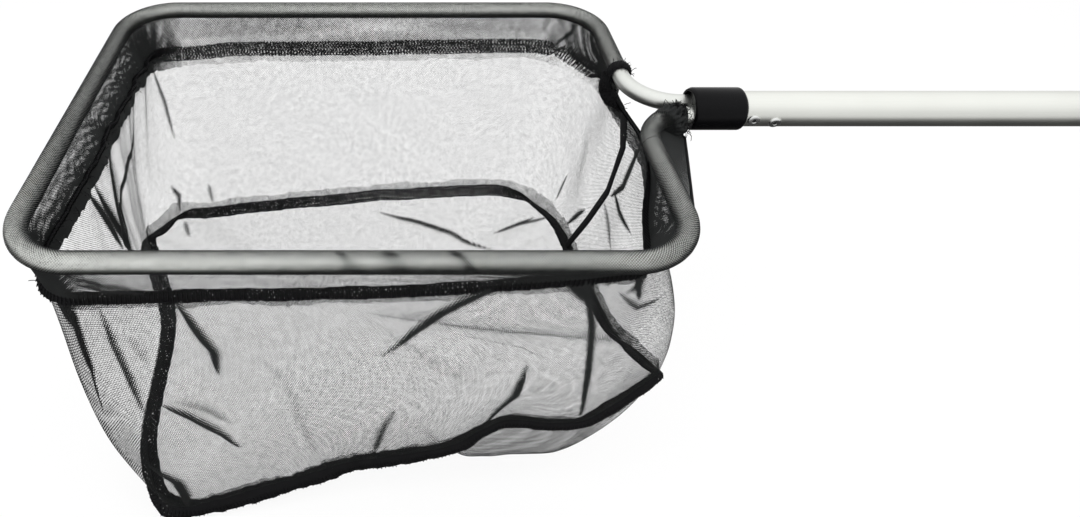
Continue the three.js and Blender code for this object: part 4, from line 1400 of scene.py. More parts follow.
# Round the bag, and down from the rim seam
WALL_FOLDS = (
    # Front wall, below the left end of the bar
    Fold(((0.706, 0.006), (0.698, 0.031), (0.692, 0.046), (0.694, 0.076), (0.704, 0.092)),
         0.0036, 6.5, 0.002, True),
    Fold(((0.760, 0.006), (0.758, 0.024), (0.758, 0.041), (0.756, 0.062)), 0.0026, 4.2, 0.001),
    Fold(((0.768, 0.021), (0.772, 0.035)), 0.0040, 1.0),
    Fold(((0.804, 0.003), (0.808, 0.022), (0.812, 0.032), (0.809, 0.045)), 0.0030, 6.5, 0.002),
    Fold(((0.802, 0.003), (0.794, 0.018)), 0.0020, 3.0),
    Fold(((0.768, 0.059), (0.782, 0.069), (0.794, 0.083), (0.799, 0.095)), 0.0026, 6.0, 0.002),
    Fold(((0.776, 0.059), (0.792, 0.066), (0.803, 0.078)), 0.0030, 1.4),
    Fold(((0.742, 0.098), (0.750, 0.112), (0.748, 0.124), (0.743, 0.136)), 0.0030, 6.0, 0.002),
    # Front wall, middle and right
    Fold(((0.975, 0.002), (0.948, 0.015), (0.932, 0.025), (0.920, 0.034), (0.909, 0.041)),
         0.0026, 6.5, 0.002, True),
    Fold(((0.948, 0.015), (0.925, 0.016)), 0.0030, 0.8),
    Fold(((0.884, 0.126), (0.898, 0.098), (0.910, 0.080)), 0.0030, 2.4),
    Fold(((0.838, 0.038), (0.846, 0.056), (0.844, 0.118)), 0.0040, 0.5),
    Fold(((0.972, 0.122), (0.982, 0.105), (0.992, 0.091), (0.998, 0.062)), 0.0030, 5.5, 0.002),
    Fold(((1.028, 0.002), (1.034, 0.032), (1.036, 0.064), (1.038, 0.092), (1.042, 0.130)),
         0.0022, 6.0, 0.001, True),
    Fold(((1.020, 0.000), (1.030, 0.018)), 0.0060, 6.0, 0.0, True),
    Fold(((1.048, 0.013), (1.060, 0.028), (1.076, 0.032)), 0.0020, 3.6),
    Fold(((1.058, 0.000), (1.061, 0.022)), 0.0026, 5.0),
    Fold(((1.070, 0.004), (1.052, 0.014)), 0.0030, 3.0),
    # Left wall: folds that spread from the bottom seam like a branch
    Fold(((0.606, 0.076), (0.604, 0.048), (0.596, 0.020), (0.580, 0.002)), 0.0038, 7.0, 0.002, True),
    Fold(((0.600, 0.070), (0.598, 0.048), (0.576, 0.041), (0.530, 0.043), (0.518, 0.018)), 0.0026, 5.0),
    Fold(((0.605, 0.074), (0.624, 0.028), (0.630, 0.007)), 0.0034, 6.5, 0.002, True),
    Fold(((0.618, 0.064), (0.632, 0.025), (0.640, 0.008)), 0.0028, 5.0),
    Fold(((0.480, 0.000), (0.690, 0.000)), 0.0080, 3.6, 0.0, True, -1),
    # Rear wall
    Fold(((0.464, 0.006), (0.452, 0.038), (0.446, 0.071)), 0.0020, 4.2),
    Fold(((0.458, 0.112), (0.450, 0.122), (0.453, 0.136)), 0.0026, 5.0),
    Fold(((0.420, 0.114), (0.418, 0.132)), 0.0018, 3.6),
    # Right wall, below the handle
    Fold(((0.050, 0.096), (0.052, 0.122)), 0.0020, 3.6),
    Fold(((1.234, 0.094), (1.250, 0.127)), 0.0022, 4.0),
    Fold(((1.208, 0.004), (1.203, 0.042), (1.214, 0.060)), 0.0028, 5.5),
    Fold(((1.214, 0.054), (1.192, 0.057), (1.168, 0.056)), 0.0022, 4.0),
    Fold(((1.220, 0.070), (1.200, 0.077), (1.182, 0.088)), 0.0030, 1.6),
    Fold(((0.030, 0.000), (1.235, 0.004)), 0.0060, 6.0, 0.0, True),
)

# Along the handle from the hoop's middle, and rearward
FLOOR_FOLDS = (
    Fold(((0.015, 0.065), (0.049, 0.054), (0.082, 0.039), (0.106, 0.024)), 0.0022, 5.5),
    Fold(((0.112, 0.042), (0.146, 0.053)), 0.0018, 5.0),
    Fold(((0.133, 0.048), (0.158, 0.051)), 0.0016, 4.0),
    Fold(((-0.157, 0.068), (-0.150, 0.050)), 0.0016, 4.0),
)

# Along the hoop, and down from where the cloth leaves the tube, or below 0 round the tube
SLEEVE_FOLDS = (
    Fold(((0.454, 0.004), (0.466, 0.024)), 0.0014, 3.0),
    Fold(((0.440, 0.008), (0.450, 0.021)), 0.0012, 2.5),
    Fold(((0.096, 0.001), (0.098, 0.009), (0.112, 0.022)), 0.0014, 3.0),
    Fold(((0.076, 0.002), (0.056, 0.007), (0.030, 0.024)), 0.0030, 3.5),
    Fold(((0.754, 0.010), (0.768, 0.017), (0.788, 0.020)), 0.0024, 3.5),
    Fold(((0.894, -0.012), (0.914, -0.034)), 0.0042, 1.1),
    Fold(((0.918, -0.010), (0.938, -0.034)), 0.0050, 1.3),
    Fold(((0.952, -0.010), (0.976, -0.034)), 0.0028, 1.8),
    Fold(((1.112, -0.018), (1.172, -0.016)), 0.0014, 0.9),
    Fold(((1.112, -0.023), (1.172, -0.021)), 0.0014, 0.9),
    Fold(((1.116, -0.028), (1.172, -0.026)), 0.0014, 0.9),
)

# Where the cloth is bunched above the rim seam: along the hoop, how far, and how much closer
SKIRT_BUNCHES = ((0.728, 0.026, 2.2), (1.045, 0.060, 3.0), (0.470, 0.020, 1.0))

# Edge of the cloth that stands off the front tube end, in millimetres right of the hoop's side,
# rearward of the handle's axis, and up
WEB_EDGE = ((5, -108, -2), (15, -70, -4), (23, -40, -6), (29, -19, -9))

# End edge of the sleeve, from the bound edge down to the rim seam, measured likewise
END_EDGE = ((-7, 50, -1), (-9, 46, -9), (-7, 43, -16), (0, 39, -22), (4, 30, -22))


def in_mesh(piece: Piece, *nodes: str) -> Piece:
    """Dresses a piece of the bag in mesh."""
    return dressed(piece, NET_MESH, Slot.MESH, Body.NET_HEAD, *nodes)


def in_overlock(piece: Piece, *nodes: str) -> Piece:
    """Dresses a seam of the bag."""
    return dressed(piece, OVERLOCK, Slot.THREAD, Body.NET_HEAD, *nodes)


def in_thread(piece: Piece, *nodes: str) -> Piece:
    """Dresses thread that is sewn on or hangs loose."""
    return dressed(piece, SEAM_THREAD, Slot.THREAD, Body.NET_HEAD, *nodes)


@dataclass
class NetBag:
    """The mesh bag: sleeve, wall, bottom panel and seams."""

    shape: BagShape
    sleeve_radius: float = 6.45 * MM
    sleeve_width: float = 78 * MM
    skirt_width: float = 24 * MM
    wall_height: float = 140 * MM
    rim_half: float = 4.8 * MM
    floor_half: float = 5.8 * MM
    bare_length: float = 6 * MM
    # Sizes of the flat cloth: the wall's height, the bottom panel, and where the sleeve is left out
    wall_cut: float = 0.135
    floor_cut: tuple[float, float] = (0.31, 0.23)
    sleeve_gap: float = 0.08
    # The share of the sleeve's width that hangs on each side of the tube, where the cloth meets the
    # tube, and how far round it goes, both in degrees from below
    lap: float = 0.30
    wrap_start: float = 24.0
    wrap_turn: float = 312.0
    seam_points: int = 881
    # How far the rim seam and the bottom seam lie over on the bag's sides, in degrees
    rim_lies: float = 40.0
    floor_lies: float = 62.0
    # The loose stretch of the rim seam, like a ladder: its middle, its half length and its lean
    ladder_place: float = 0.076
    ladder_reach: float = 0.036
    ladder_lean: tuple[float, float, float] = (-0.2, -0.65, 0.75)

    def build(self) -> None:
        """Builds the cloth and the seams."""
        wall = self.wall()
        floor = self.floor()
        sleeve = self.sleeve()
        rim, bottom, closing = self.rim_seam(), self.floor_seam(), self.closing_seam()
        gathers = [self.gather(), self.binding(), *self.frays(), *self.web(), *self.end_edge()]

    def sides(self, place: Array) -> tuple[Array, ...]:
        """Gives how far places face the left, the right, the rear and the front, from 0 to 1."""
        x, y, _ = self.shape.inward(place).T
        return tuple(np.clip(share, 0, 1) for share in (x, -x, -y, y))

    def by_side(self, place: Array, level: float, left: float = 0.0, right: float = 0.0,
                rear: float = 0.0, front: float = 0.0) -> Array:
        """Gives a value that differs on the bag's four sides.

        Args:
            place: places round the bag.
            level: the value that the sides add to.
            left: what the left side adds.
            right: what the right side adds.
            rear: what the rear adds.
            front: what the front adds.

        Returns:
            One value for each place.
        """
        added = zip(self.sides(place), (left, right, rear, front))
        return level + sum(share * more for share, more in added)

    def lying(self, place: Array, degrees: float) -> Array:
        """Gives directions out of a seam that lies over towards the inside on the bag's sides."""
        turn = math.radians(degrees) * np.abs(self.shape.inward(place)[:, 0])
        return unit(times(np.cos(turn), self.shape.outward(place)) + times(np.sin(turn), UP))

    def wall(self) -> Piece:
        """Builds the wall: one strip from the rim seam to the bottom seam."""
        shape, height = self.shape, self.wall_height

        def place(first: Array, second: Array) -> Array:
            """Hangs the strip, with its folds."""
            around = first * shape.girth
            _, lift = folded(WALL_FOLDS, around, second * height, shape.girth)
            waves = 1.2 * MM * shape.wave(around + 0.12 * second, 0.18, 11) * np.sin(math.pi * second)
            return shape.wall(around, second) + times(lift + waves, shape.outward(around))

        def density(first: Array, second: Array) -> Array:
            """Threads stand closer in the folds, and a little at the rear."""
            around = first * shape.girth
            closer, _ = folded(WALL_FOLDS, around, second * height, shape.girth)
            uneven = 0.05 * shape.wave(around + 0.2 * second, 0.1, 21)
            plain = self.by_side(around, 0.92, left=-0.12, right=-0.08, rear=0.1, front=-0.06)
            return plain + uneven + closer

        weave = flat_weave(shape.girth, height)
        piece = grid_sheet("net_wall_cloth", 880, 104, place, weave, density)
        return in_mesh(piece, "net_wall")

    def floor(self) -> Piece:
        """Builds the bottom panel, which sags inside its seam and bulges below it at the front."""
        shape = self.shape

        def place(first: Array, second: Array) -> Array:
            """Spreads the panel from its middle to the seam."""
            return shape.floor(first * shape.girth, second)

        def weave(first: Array, second: Array) -> Array:
            """Cloth coordinates across the panel, and down where it bulges."""
            x, y, z = place(first, second).T
            return np.stack([x, y + z], axis=1) / MM

        def density(first: Array, second: Array) -> Array:
            """Threads stand closer in the folds and where the panel bulges."""
            points = place(first, second)
            closer, _ = folded(FLOOR_FOLDS, points[:, 0] - shape.hoop.centre_x, points[:, 1])
            bulge = round_spline(shape.bulge_knots, first)[:, 0] / 30
            return 1.0 + closer + 0.7 * np.clip(bulge, 0, 1) * np.clip((second - 0.65) / 0.3, 0, 1) ** 2

        piece = grid_sheet("net_floor_cloth", 600, 84, place, weave, density)
        return in_mesh(piece, "net_floor")

    def sleeve(self) -> Piece:
        """Builds the sleeve: up from the rim seam, over the tube and down again."""
        shape, radius, lap = self.shape, self.sleeve_radius, self.lap
        start = self.bare_length
        covered = shape.girth - 2 * shape.hoop.gap - start

        def hang(second: Array) -> Array:
            """Gives 0 on the tube and 1 at the rim seam."""
            return np.clip(np.maximum(lap - second, second - (1 - lap)) / lap, 0, 1)

        def turned(second: Array) -> Array:
            """Gives the share of the way round the tube, from inside the bag to outside."""
            return np.clip((second - lap) / (1 - 2 * lap), 0, 1)

        def place(first: Array, second: Array) -> Array:
            """Wraps the cloth round the tube, with a layer hanging on each side."""
            around = start + first * covered
            top, rim, inward = shape.top(around), shape.rim(around), shape.inward(around)
            drop = rim - top
            lean = np.arctan2(np.sum(drop * inward, axis=1), -drop[:, 2])
            angle = lean + np.radians(self.wrap_start + turned(second) * self.wrap_turn)
            ring = top + times(-radius * np.cos(angle), UP) + times(radius * np.sin(angle), inward)
            side = np.where(second < 0.5, 1.0, -1.0) * 0.7 * MM
            foot = rim + times(side, inward)
            return ring + times(hang(second), foot - ring)

        def density(first: Array, second: Array) -> Array:
            """Threads stand closer over the tube, at the sides and in the folds; over the tube the cover
            also paints shade and a highlight.
            """
            around = start + first * covered
            on_tube = (second > lap) & (second < 1 - lap)
            turn, hung = turned(second), hang(second)
            round_tube = (1 - 2 * lap) * self.sleeve_width
            level = np.where(on_tube, -turn * round_tube, hung * self.skirt_width)
            closer, _ = folded(SLEEVE_FOLDS, around, level)
            # Closer on the tube's lower sides: partly the cloth drawing together where it leaves the tube,
            # partly painted shade of the tube's lower edges.
            tube = self.by_side(around, 1.36, left=0.2) + 0.8 * np.abs(2 * turn - 1) ** 3
            # Painted highlight: the cover opens in a band on the tube's outer upper side along the left and
            # front, so the bright tube beneath shows through.
            painted_highlight_band = hump(turn, 0.71, np.interp(around, [0.70, 0.78], [0.30, 0.15]))
            stretch = np.interp(around, [0.62, 0.70, 0.82, 0.90, 0.97], [0.0, 0.9, 0.85, 0.45, 0.0])
            tube = tube - stretch * painted_highlight_band
            # Painted shade: the cover closes on the tube's outer side towards the right end of the front,
            # darkening the tube there.
            outer = np.clip((turn - 0.64) / 0.14, 0, 1)
            tube = tube + outer * np.interp(around, [0.82, 0.92, 1.09, 1.12], [0.0, 0.8, 1.0, 0.3])
            skirt = self.by_side(around, 0.0, left=1.8, right=1.6, rear=1.5, front=0.8)
            skirt = skirt + self.by_side(around, 0.0, left=2.2, right=0.88) * hung ** 2
            for middle, reach, more in SKIRT_BUNCHES:
                skirt = skirt + more * hump(around, middle, reach)
            fine = 0.22 * shape.wave(around + 0.06 * second, 0.014, 32)
            uneven = 0.08 * shape.wave(around, 0.2, 31) + fine
            return np.where(on_tube, tube, skirt + uneven) + closer

        weave = flat_weave(covered, self.sleeve_width)
        piece = grid_sheet("net_sleeve_cloth", 700, 60, place, weave, density)
        return in_mesh(piece, "net_sleeve")

    def overlock(self, name: str, path: Array, out: Array, half: Array, pitch: float, seed: int) -> Piece:
        """Builds the sewing thread that zigzags over a seam.

        Args:
            name: the piece's name.
            path: the seam's middle line, closely spaced.
            out: directions out of the cloth along it.
            half: half the seam's width along it.
            pitch: the length of a stitch.
            seed: which uneven row of stitches it is.

        Returns:
            The thread.
        """
        chance = np.random.default_rng(seed)
        steps = distances(path)
        count = int(steps[-1] / pitch) * 4
        at = np.linspace(0, steps[-1], count + 1)
        line = read_along(at, steps, path)
        away = unit(read_along(at, steps, out))
        across = unit(np.cross(unit(np.gradient(line, axis=0)), away))
        swing = np.array([1.0, 0.45, -1.0, -0.45])[np.arange(count + 1) % 4]
        rise = np.array([0.5, 1.3, 0.5, -1.3])[np.arange(count + 1) % 4]
        reach = np.interp(at, steps, half) * (0.98 + chance.normal(0, 0.05, count + 1))
        points = line + times(swing * reach, across) + times(rise * 1.2 * MM, away)
        thread = 0.34 * MM
        piece = sweep(name, points, away + across * 0.3, thread, thread, sides=4)
        return in_thread(piece)

    def fringe(self, name: str, start: Array, end: Array, closeness: Array) -> Piece:
        """Builds a strip of cloth between two lines, such as the raw edge that shows beside a seam.

        Args:
            name: the piece's name.
            start: points along the seam.
            end: points along the edge, one for each.
            closeness: how close its threads stand at each.

        Returns:
            The strip.
        """
        steps = len(start) - 1
        weave = flat_weave(distances(start)[-1], np.linalg.norm(end - start, axis=1).mean())

        def place(first: Array, second: Array) -> Array:
            """Runs the strip from the seam to the edge."""
            index = nearest(first, steps)
            return start[index] + times(second, (end - start)[index])

        def density(first: Array, second: Array) -> Array:
            """Threads stand closest at the seam."""
            return closeness[nearest(first, steps)] * (1.2 - 0.3 * second)

        piece = grid_sheet(name, steps, 4, place, weave, density)
        return in_mesh(piece)

    def rim_seam(self) -> list[Piece]:
        """Builds the overlocked seam below the hoop, open at the rear, with a ladder at its right end."""
        shape = self.shape
        place = np.linspace(0, shape.girth, self.seam_points)
        left, _, _, front = self.sides(place)
        ladder = hump(place, self.ladder_place, self.ladder_reach, 4)
        path = shape.rim(place)
        turned = times(ladder, np.array(self.ladder_lean))
        out = unit(times(1 - ladder, self.lying(place, self.rim_lies)) + turned)
        lumps = 0.08 * shape.wave(place, 0.009, 45) + 0.12 * front * shape.wave(place, 0.05, 47)
        half = self.rim_half * self.by_side(place, 1.0, left=0.45, right=0.35, rear=0.3) * (1 + lumps)
        close = self.by_side(place, 0.92, rear=-0.30) - 0.5 * ladder
        band = sweep("rim_seam_band", path, out, 0.9 * MM, half, sides=10, closed_path=True,
                     closeness=close)
        in_overlock(band, "rim_seam")
        down = unit(shape.bottom(place) - path)
        fine = self.by_side(place, 0.7, left=0.3) * shape.wave(place, 0.012, 42)
        uneven = 1.6 * shape.wave(place, 0.08, 41) + fine
        edge = half + (self.by_side(place, 4.5, left=-1.5) + uneven) * MM
        tight = self.by_side(place, 1.7, left=3.0, right=0.8, rear=-0.4) * (1 - 0.8 * ladder)
        raw = self.fringe("rim_seam_edge", path - out * 0.6 * MM,
                          path - out * 1.2 * MM + times(edge, down), tight)
        frays = self.hairs("rim_seam_frays", path[left > 0.7], (0.5, 0.0, 0.6), 6 * MM, 170, 44)
        loose = ladder > 0.5
        rungs = self.overlock("rim_seam_ladder", path[loose], out[loose], half[loose] * 1.1, 4.6 * MM, 46)
        return [band, raw, frays, rungs, self.overlock("rim_seam_stitches", path, out, half, 2.6 * MM, 43)]

    def floor_seam(self) -> list[Piece]:
        """Builds the overlocked seam round the bottom panel, thickest at the front."""
        shape = self.shape
        place = np.linspace(0, shape.girth, self.seam_points)
        front = self.sides(place)[3]
        path, out = shape.bottom(place), self.lying(place, self.floor_lies)
        thick = np.interp(place, [0.70, 0.76, 0.91, 0.96, 1.06, 1.083, 1.11],
                          [0, 0.45, 0.4, 0.05, 0.0, -0.3, 0.1])
        lumps = 0.09 * shape.wave(place, 0.011, 54) + 0.16 * front * shape.wave(place, 0.06, 55)
        half = self.floor_half * (self.by_side(place, 1.0, left=0.3, rear=-0.1) + thick) * (1 + lumps)
        close = self.by_side(place, 1.0, left=-0.24, rear=-0.06, front=0.4)
        band = sweep("floor_seam_band", path, out, 1.6 * MM, half, sides=10, closed_path=True,
                     closeness=close)
        in_overlock(band, "floor_seam")
        up = unit(shape.rim(place) - path)
        uneven = 1.8 * shape.wave(place, 0.09, 51) + 0.7 * shape.wave(place, 0.012, 52)
        edge = half + (4.5 + uneven) * MM
        raw = self.fringe("floor_seam_edge", path + out * 0.8 * MM,
                          path + out * 1.6 * MM + times(edge, up), np.full(len(place), 1.7))
        return [band, raw, self.overlock("floor_seam_stitches", path, out, half, 2.4 * MM, 53)]

    def closing_seam(self) -> Piece:
        """Builds the seam that closes the wall's strip, which hangs in a bend."""
        share = np.linspace(0, 1, 61)
        place = np.interp(share, [0, 0.15, 0.43, 0.7, 1], [-0.013, -0.029, -0.035, -0.028, -0.018])
        out = self.shape.outward(place)
        path = self.shape.wall(place, share) - out * 0.6 * MM
        half = np.interp(share, [0, 0.3, 0.6, 1], [5.5, 3.4, 3.8, 3.4]) * MM
        piece = sweep("closing_seam_band", path, out, 0.9 * MM, half, sides=10)
        return in_overlock(piece, "closing_seam")

    def hairs(self, name: str, path: Array, lean: Sequence[float], reach: float, count: int,
              seed: int) -> Piece:
        """Builds loose thread ends along a line.

        Args:
            name: the piece's name.
            path: points along the line.
            lean: which way most of them point.
            reach: how far from the line they start.
            count: how many there are.
            seed: which uneven set it is.

        Returns:
            The thread ends.
        """
        chance = np.random.default_rng(seed)
        bm = bmesh.new()
        for _ in range(count):
            away = unit(np.array(lean) * 0.5 + chance.normal(0, 0.7, 3))
            start = path[chance.integers(len(path))] + away * reach * chance.uniform(0.4, 1.0)
            self.strand(bm, start, away, chance.uniform(2, 5) * MM, chance)
        return in_thread(finished(name, bm))

    def edge_line(self, knots: Sequence[Sequence[float]], count: int) -> Array:
        """Gives a line of points through knots measured from the hoop's right side.

        Args:
            knots: how far right of the hoop's side, along the width, and up, in millimetres.
            count: how many points.

        Returns:
            The points.
        """
        hoop = self.shape.hoop
        points = np.array(knots, dtype=float) * MM + np.array([hoop.centre_x + hoop.side, 0.0, 0.0])
        line = read_along(np.linspace(0, len(points) - 1, count), np.arange(len(points)), points)
        window = count // 6
        smooth = np.ones(window) / window
        inner = [np.convolve(np.pad(column, window, mode="edge"), smooth, "same") for column in line.T]
        return np.stack(inner, axis=1)[window:-window]

    def web(self) -> list[Piece]:
        """Builds the cloth that stands off the tube beside the bunched end, with its dark edge."""
        shape, hoop = self.shape, self.shape.hoop
        covered = shape.girth - 2 * hoop.gap
        side = shape.top(np.linspace(covered - 68 * MM, covered, 41))
        tube = np.concatenate([side, self.leg_path(-1, 1 * MM, 40 * MM, 24)])
        edge = self.edge_line(WEB_EDGE, len(tube))
        web = self.fringe("sleeve_web", tube, edge, np.linspace(2.6, 4.2, len(tube)))
        cord = sweep("sleeve_web_edge", edge, UP, 0.9 * MM, 0.9 * MM)
        return [web, in_thread(cord)]

    def end_edge(self) -> list[Piece]:
        """Builds the bunched end edge of the sleeve, from the bound edge down to the rim seam."""
        path = self.edge_line(END_EDGE, 60)
        out = np.tile(unit(np.array([[-0.6, -0.5, 0.6]])), (len(path), 1))
        half = np.interp(np.linspace(0, 1, len(path)), [0, 0.65, 1], [3.6, 6.0, 1.5]) * MM
        band = sweep("sleeve_end_band", path, out, 1.6 * MM, half, sides=10,
                     closeness=np.full(len(path), 1.3))
        in_overlock(band)
        frays = self.hairs("sleeve_end_frays", path, out[0], 4 * MM, 90, 71)
        return [band, self.overlock("sleeve_end_stitches", path, out, half, 2.0 * MM, 72), frays]

    def leg_path(self, side: int, start: float, end: float, count: int) -> Array:
        """Gives points on a tube end, from the hoop's side on round its bend.

        Args:
            side: 1 for the rear end, -1 for the front.
            start: the first length along the bend, below 0 on the hoop's side.
            end: the last length.
            count: how many points.

        Returns:
            The points.
        """
        hoop = self.shape.hoop
        along = np.linspace(start, end, count)
        angle = np.maximum(along, 0) / hoop.leg_bend
        x = hoop.centre_x + hoop.side + hoop.leg_bend * (1 - np.cos(angle))
        y = side * (hoop.gap - np.minimum(along, 0) - hoop.leg_bend * np.sin(angle))
        return np.stack([x, y, np.zeros(count)], axis=1)

    def gather(self) -> Piece:
        """Builds the bunched end of the sleeve on the front tube end."""
        hoop = self.shape.hoop
        end = hoop.leg_bend * math.pi / 2 - 3.0 * MM
        steps = 90
        path = self.leg_path(-1, -1 * MM, end, steps + 1)
        inside = np.cross(unit(np.gradient(path, axis=0)), UP)

        def place(first: Array, second: Array) -> Array:
            """Swells the cloth towards the collar, with folds round it."""
            index = nearest(first, steps)
            angle = second * math.tau
            bunch = 8.5 * MM * np.sin(math.pi * np.clip((first - 0.5) / 0.5, 0, 1)) ** 0.7
            ruffle = np.clip((first - 0.55) * 5, 0, 1)
            wide, narrow = np.cos(9 * angle + 7 * first), np.cos(21 * angle - 30 * first)
            fold = 1 + ruffle * (0.20 * wide + 0.22 * narrow)
            radius = self.sleeve_radius + 0.55 * bunch * fold
            centre = path[index] + times(0.5 * bunch, inside[index] - 0.35 * UP)
            out = times(np.cos(angle), inside[index]) + times(np.sin(angle), UP)
            return centre + times(radius, out)

        def density(first: Array, second: Array) -> Array:
            """The cloth is packed close in the bunch."""
            return 1.5 + 7.0 * np.clip((first - 0.58) * 6, 0, 1)

        weave = flat_weave(50 * MM, 60 * MM)
        piece = grid_sheet("sleeve_gather_cloth", steps, 120, place, weave, density)
        return in_mesh(piece, "sleeve_gather")

    def binding(self) -> Piece:
        """Builds the bound edge of the sleeve on the rear tube end."""
        path = self.leg_path(1, -11 * MM, -2 * MM, 25)
        side = np.cross(unit(np.gradient(path, axis=0)), UP)
        steps = len(path) - 1

        def place(first: Array, second: Array) -> Array:
            """Rounds the bound edge over the tube."""
            index = nearest(first, steps)
            angle = second * math.tau
            radius = 6.4 * MM + 2.2 * MM * np.sqrt(np.clip(1 - (2 * first - 1) ** 2, 0, 1))
            radius = radius + 0.35 * MM * np.cos(26 * angle + 9 * first)
            out = times(np.cos(angle), side[index]) + times(np.sin(angle), UP)
            return path[index] + times(radius, out)

        weave = flat_weave(9 * MM, 52 * MM)
        piece = grid_sheet("sleeve_binding_thread", steps, 104, place, weave, closed=True)
        return in_thread(piece, "sleeve_binding")

    def frays(self) -> list[Piece]:
        """Builds the loose thread ends on the bunched and the bound end of the sleeve."""
        hoop = self.shape.hoop
        front = self.leg_path(-1, 0.0, hoop.leg_bend * math.pi / 2 - 8 * MM, 2)[1]
        front = front + np.array([0.0, -4.0, -1.5]) * MM
        rear = self.leg_path(1, -6 * MM, -5 * MM, 2)[1]
        made = []
        for name, centre, ahead, radius, count, seed in (
                ("sleeve_gather_frays", front, (1.0, 0.0, 0.0), 10.5 * MM, 320, 61),
                ("sleeve_binding_frays", rear, (0.0, -1.0, 0.0), 8.0 * MM, 60, 62)):
            chance = np.random.default_rng(seed)
            side = np.cross(ahead, UP)
            bm = bmesh.new()
            for _ in range(count):
                angle = chance.uniform(0, math.tau)
                away = side * math.cos(angle) + UP * math.sin(angle)
                start = centre + away * radius + np.array(ahead) * chance.normal(0, 2.8) * MM
                heading = unit(away + chance.normal(0, 0.5, 3))
                self.strand(bm, start, heading, chance.uniform(1.5, 5.0) * MM, chance)
            made.append(in_thread(finished(name, bm)))
        return made

    def strand(self, bm: Mesh, start: Array, heading: Array, length: float,
               chance: np.random.Generator) -> None:
        """Adds one curled thread end to a mesh.

        Args:
            bm: the mesh.
            start: where it starts.
            heading: which way it starts out.
            length: how long it is.
            chance: makes each one different.
        """
        steps, droop = 5, 0.12
        turn = Vector(UP).rotation_difference(Vector(heading)).to_matrix().to_4x4()
        made = bmesh.ops.create_circle(bm, cap_ends=True, segments=5, radius=0.22 * MM,
                                       matrix=Matrix.Translation(start) @ turn)
        ring = list({edge for vert in made["verts"] for edge in vert.link_edges})
        for _ in range(steps):
            heading = unit(heading + chance.normal(0, 0.28, 3) - droop * UP)
            ring = carried(bm, ring, Vector(heading * length / steps))
        bmesh.ops.edgeloop_fill(bm, edges=ring)


# Studio

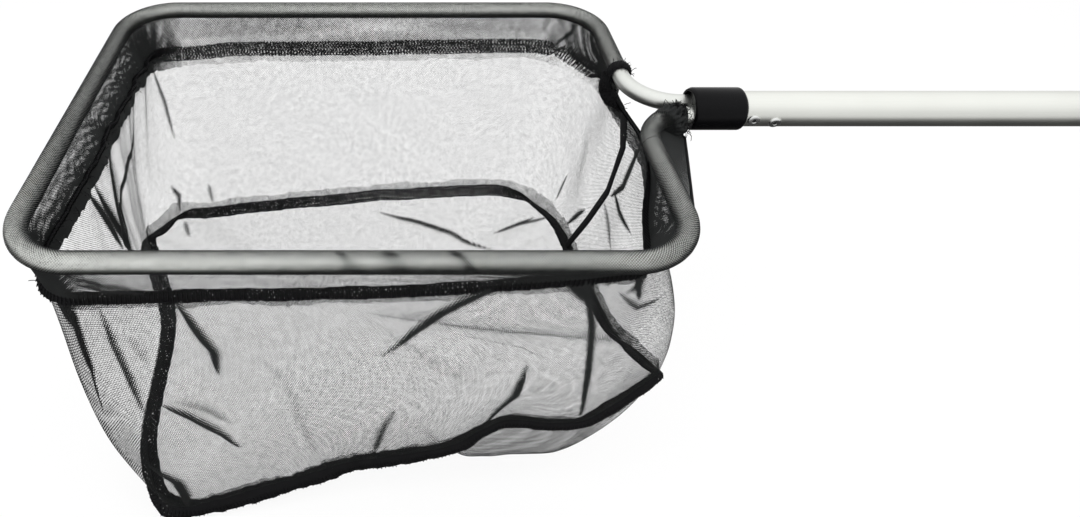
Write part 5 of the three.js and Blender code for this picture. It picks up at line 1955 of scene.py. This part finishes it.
@dataclass
class Studio:
    """The floor, the light and the camera of the photograph."""

    hoop: HoopSizes
    image_width: float = 1080.0
    image_height: float = 517.0
    focal_pixels: float = 756.0
    axis_pixel: tuple[float, float] = (383.0, 148.0)
    pitch_degrees: float = 37.7
    eye: tuple[float, float, float] = (17.3 * MM, -420 * MM, 291 * MM)
    floor_level: float = -0.221
    floor_half: float = 6.0
    # Each softbox: its place from the object's middle, the length of its sides and its power
    softboxes: tuple[tuple[str, tuple[float, float, float], float, float], ...] = (
        ("key", (-0.5, -0.5, 1.3), 1.0, 14.0),
        ("fill", (1.0, -0.3, 1.2), 1.2, 9.0),
        ("rear", (0.0, 1.2, 1.0), 1.4, 9.0),
    )

    def build(self) -> None:
        """Sets the floor, the world, the lamps and the camera."""
        self.floor()
        self.world()
        self.lamps()
        self.camera()
        scene = bpy.context.scene
        scene.view_settings.view_transform = "Standard"
        scene.cycles.transparent_max_bounces = 24

    def floor(self) -> None:
        """Builds the pale floor: nearly white with a soft shadow, and in the metal a painted shade that
        darkens the floor's reflection near and below the object.
        """
        bm = bmesh.new()
        place = Matrix.Translation((self.hoop.centre_x, 0, self.floor_level))
        bmesh.ops.create_grid(bm, x_segments=2, y_segments=2, size=self.floor_half, matrix=place)
        ground = finished("studio_floor", bm, turn_out=False)
        material, wire, shader = Finish().start("pale_floor")
        shader.inputs["Base Color"].default_value = (0.9, 0.9, 0.9, 1.0)
        shader.inputs["Roughness"].default_value = 0.9
        shader.inputs["Specular IOR Level"].default_value = 0.0
        path = wire.node("LightPath").outputs
        place = wire.node("SeparateXYZ")
        wire.put(place.inputs[0], wire.node("NewGeometry").outputs["Position"])
        # Painted shade: for glossy rays the floor is dim in a strip below the object and brightens with
        # distance from it.
        away = wire.math("ABSOLUTE", wire.math("ADD", place.outputs["Y"], 0.10))
        surface = shader.outputs[0]
        for share, strength in ((wire.math("MULTIPLY", path["Is Camera Ray"], 0.88), 1.0),
                                (path["Is Glossy Ray"], wire.ramp(away, 0.10, 0.65, 0.05, 0.85))):
            glow = wire.node("Emission")
            wire.put(glow.inputs["Strength"], strength)
            mix = wire.node("MixShader")
            wire.put(mix.inputs[0], share)
            wire.put(mix.inputs[1], surface)
            wire.put(mix.inputs[2], glow.outputs[0])
            surface = mix.outputs[0]
        wire.put(material.node_tree.nodes["Material Output"].inputs["Surface"], surface)
        ground.data.materials.append(material)

    def world(self) -> None:
        """Sets the soft light from all round: white behind the object, and in the metal brighter above."""
        world = bpy.data.worlds.new("studio_world")
        world.use_nodes = True
        bpy.context.scene.world = world
        wire = Wiring(world.node_tree)
        back = world.node_tree.nodes["Background"]
        back.inputs["Color"].default_value = (1.0, 1.0, 1.0, 1.0)
        path = wire.node("LightPath").outputs
        heading = wire.node("SeparateXYZ")
        wire.put(heading.inputs[0], wire.node("TexCoord").outputs["Generated"])
        shine = wire.ramp(heading.outputs["Z"], 0.0, 1.0, 0.27, 0.60)
        shine = wire.math("MULTIPLY_ADD", path["Is Glossy Ray"], shine, 0.55)
        wire.put(back.inputs["Strength"], wire.math("MAXIMUM", path["Is Camera Ray"], shine))

    def lamps(self) -> None:
        """Hangs the softboxes."""
        middle = Vector((self.hoop.centre_x + 0.15, 0.0, 0.0))
        for name, place, size, power in self.softboxes:
            self.lamp(name, middle + Vector(place), middle, size, power)

    def lamp(self, name: str, place: Vector, target: Vector, size: float, power: float) -> None:
        """Hangs one softbox.

        Args:
            name: its name.
            place: where it hangs.
            target: where it points.
            size: the length of its sides.
            power: its power in watts.
        """
        data = bpy.data.lights.new(name, "AREA")
        data.shape = "SQUARE"
        data.size = size
        data.energy = power
        lamp = bpy.data.objects.new(name, data)
        lamp.location = place
        lamp.visible_glossy = False
        lamp.rotation_euler = (target - place).to_track_quat("-Z", "Y").to_euler()
        bpy.context.scene.collection.objects.link(lamp)

    def camera(self) -> None:
        """Sets the camera where the photograph was taken from."""
        data = bpy.data.cameras.new("photo_camera")
        data.sensor_width = 36.0
        data.lens = data.sensor_width * self.focal_pixels / self.image_width
        data.shift_x = (self.image_width / 2 - self.axis_pixel[0]) / self.image_width
        data.shift_y = (self.axis_pixel[1] - self.image_height / 2) / self.image_width
        data.clip_start = 0.01
        eye = bpy.data.objects.new("photo_camera", data)
        eye.location = Vector(self.eye) + Vector((self.hoop.centre_x, 0, 0))
        eye.rotation_euler = (math.radians(90.0 - self.pitch_degrees), 0, 0)
        bpy.context.scene.collection.objects.link(eye)
        bpy.context.scene.camera = eye


def main() -> None:
    """Loads the frame and builds the net piece by piece."""
    logging.basicConfig(level=logging.INFO, format="%(name)s %(message)s")
    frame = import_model()
    sizes = HoopSizes.from_frame()
    Studio(sizes).build()
    HoopFrame(sizes).build()
    Collar().build()
    Handle().build()
    TwistLock().build()
    GripEnd().build()
    NetBag(BagShape(sizes)).build()
    for node in ("lock_collet", "guide_bush"):
        slots = frame["nodes"][node].data.materials
        slots.clear()
        slots.append(LOCK_PLASTIC.material())


if __name__ == "__main__":
    main()
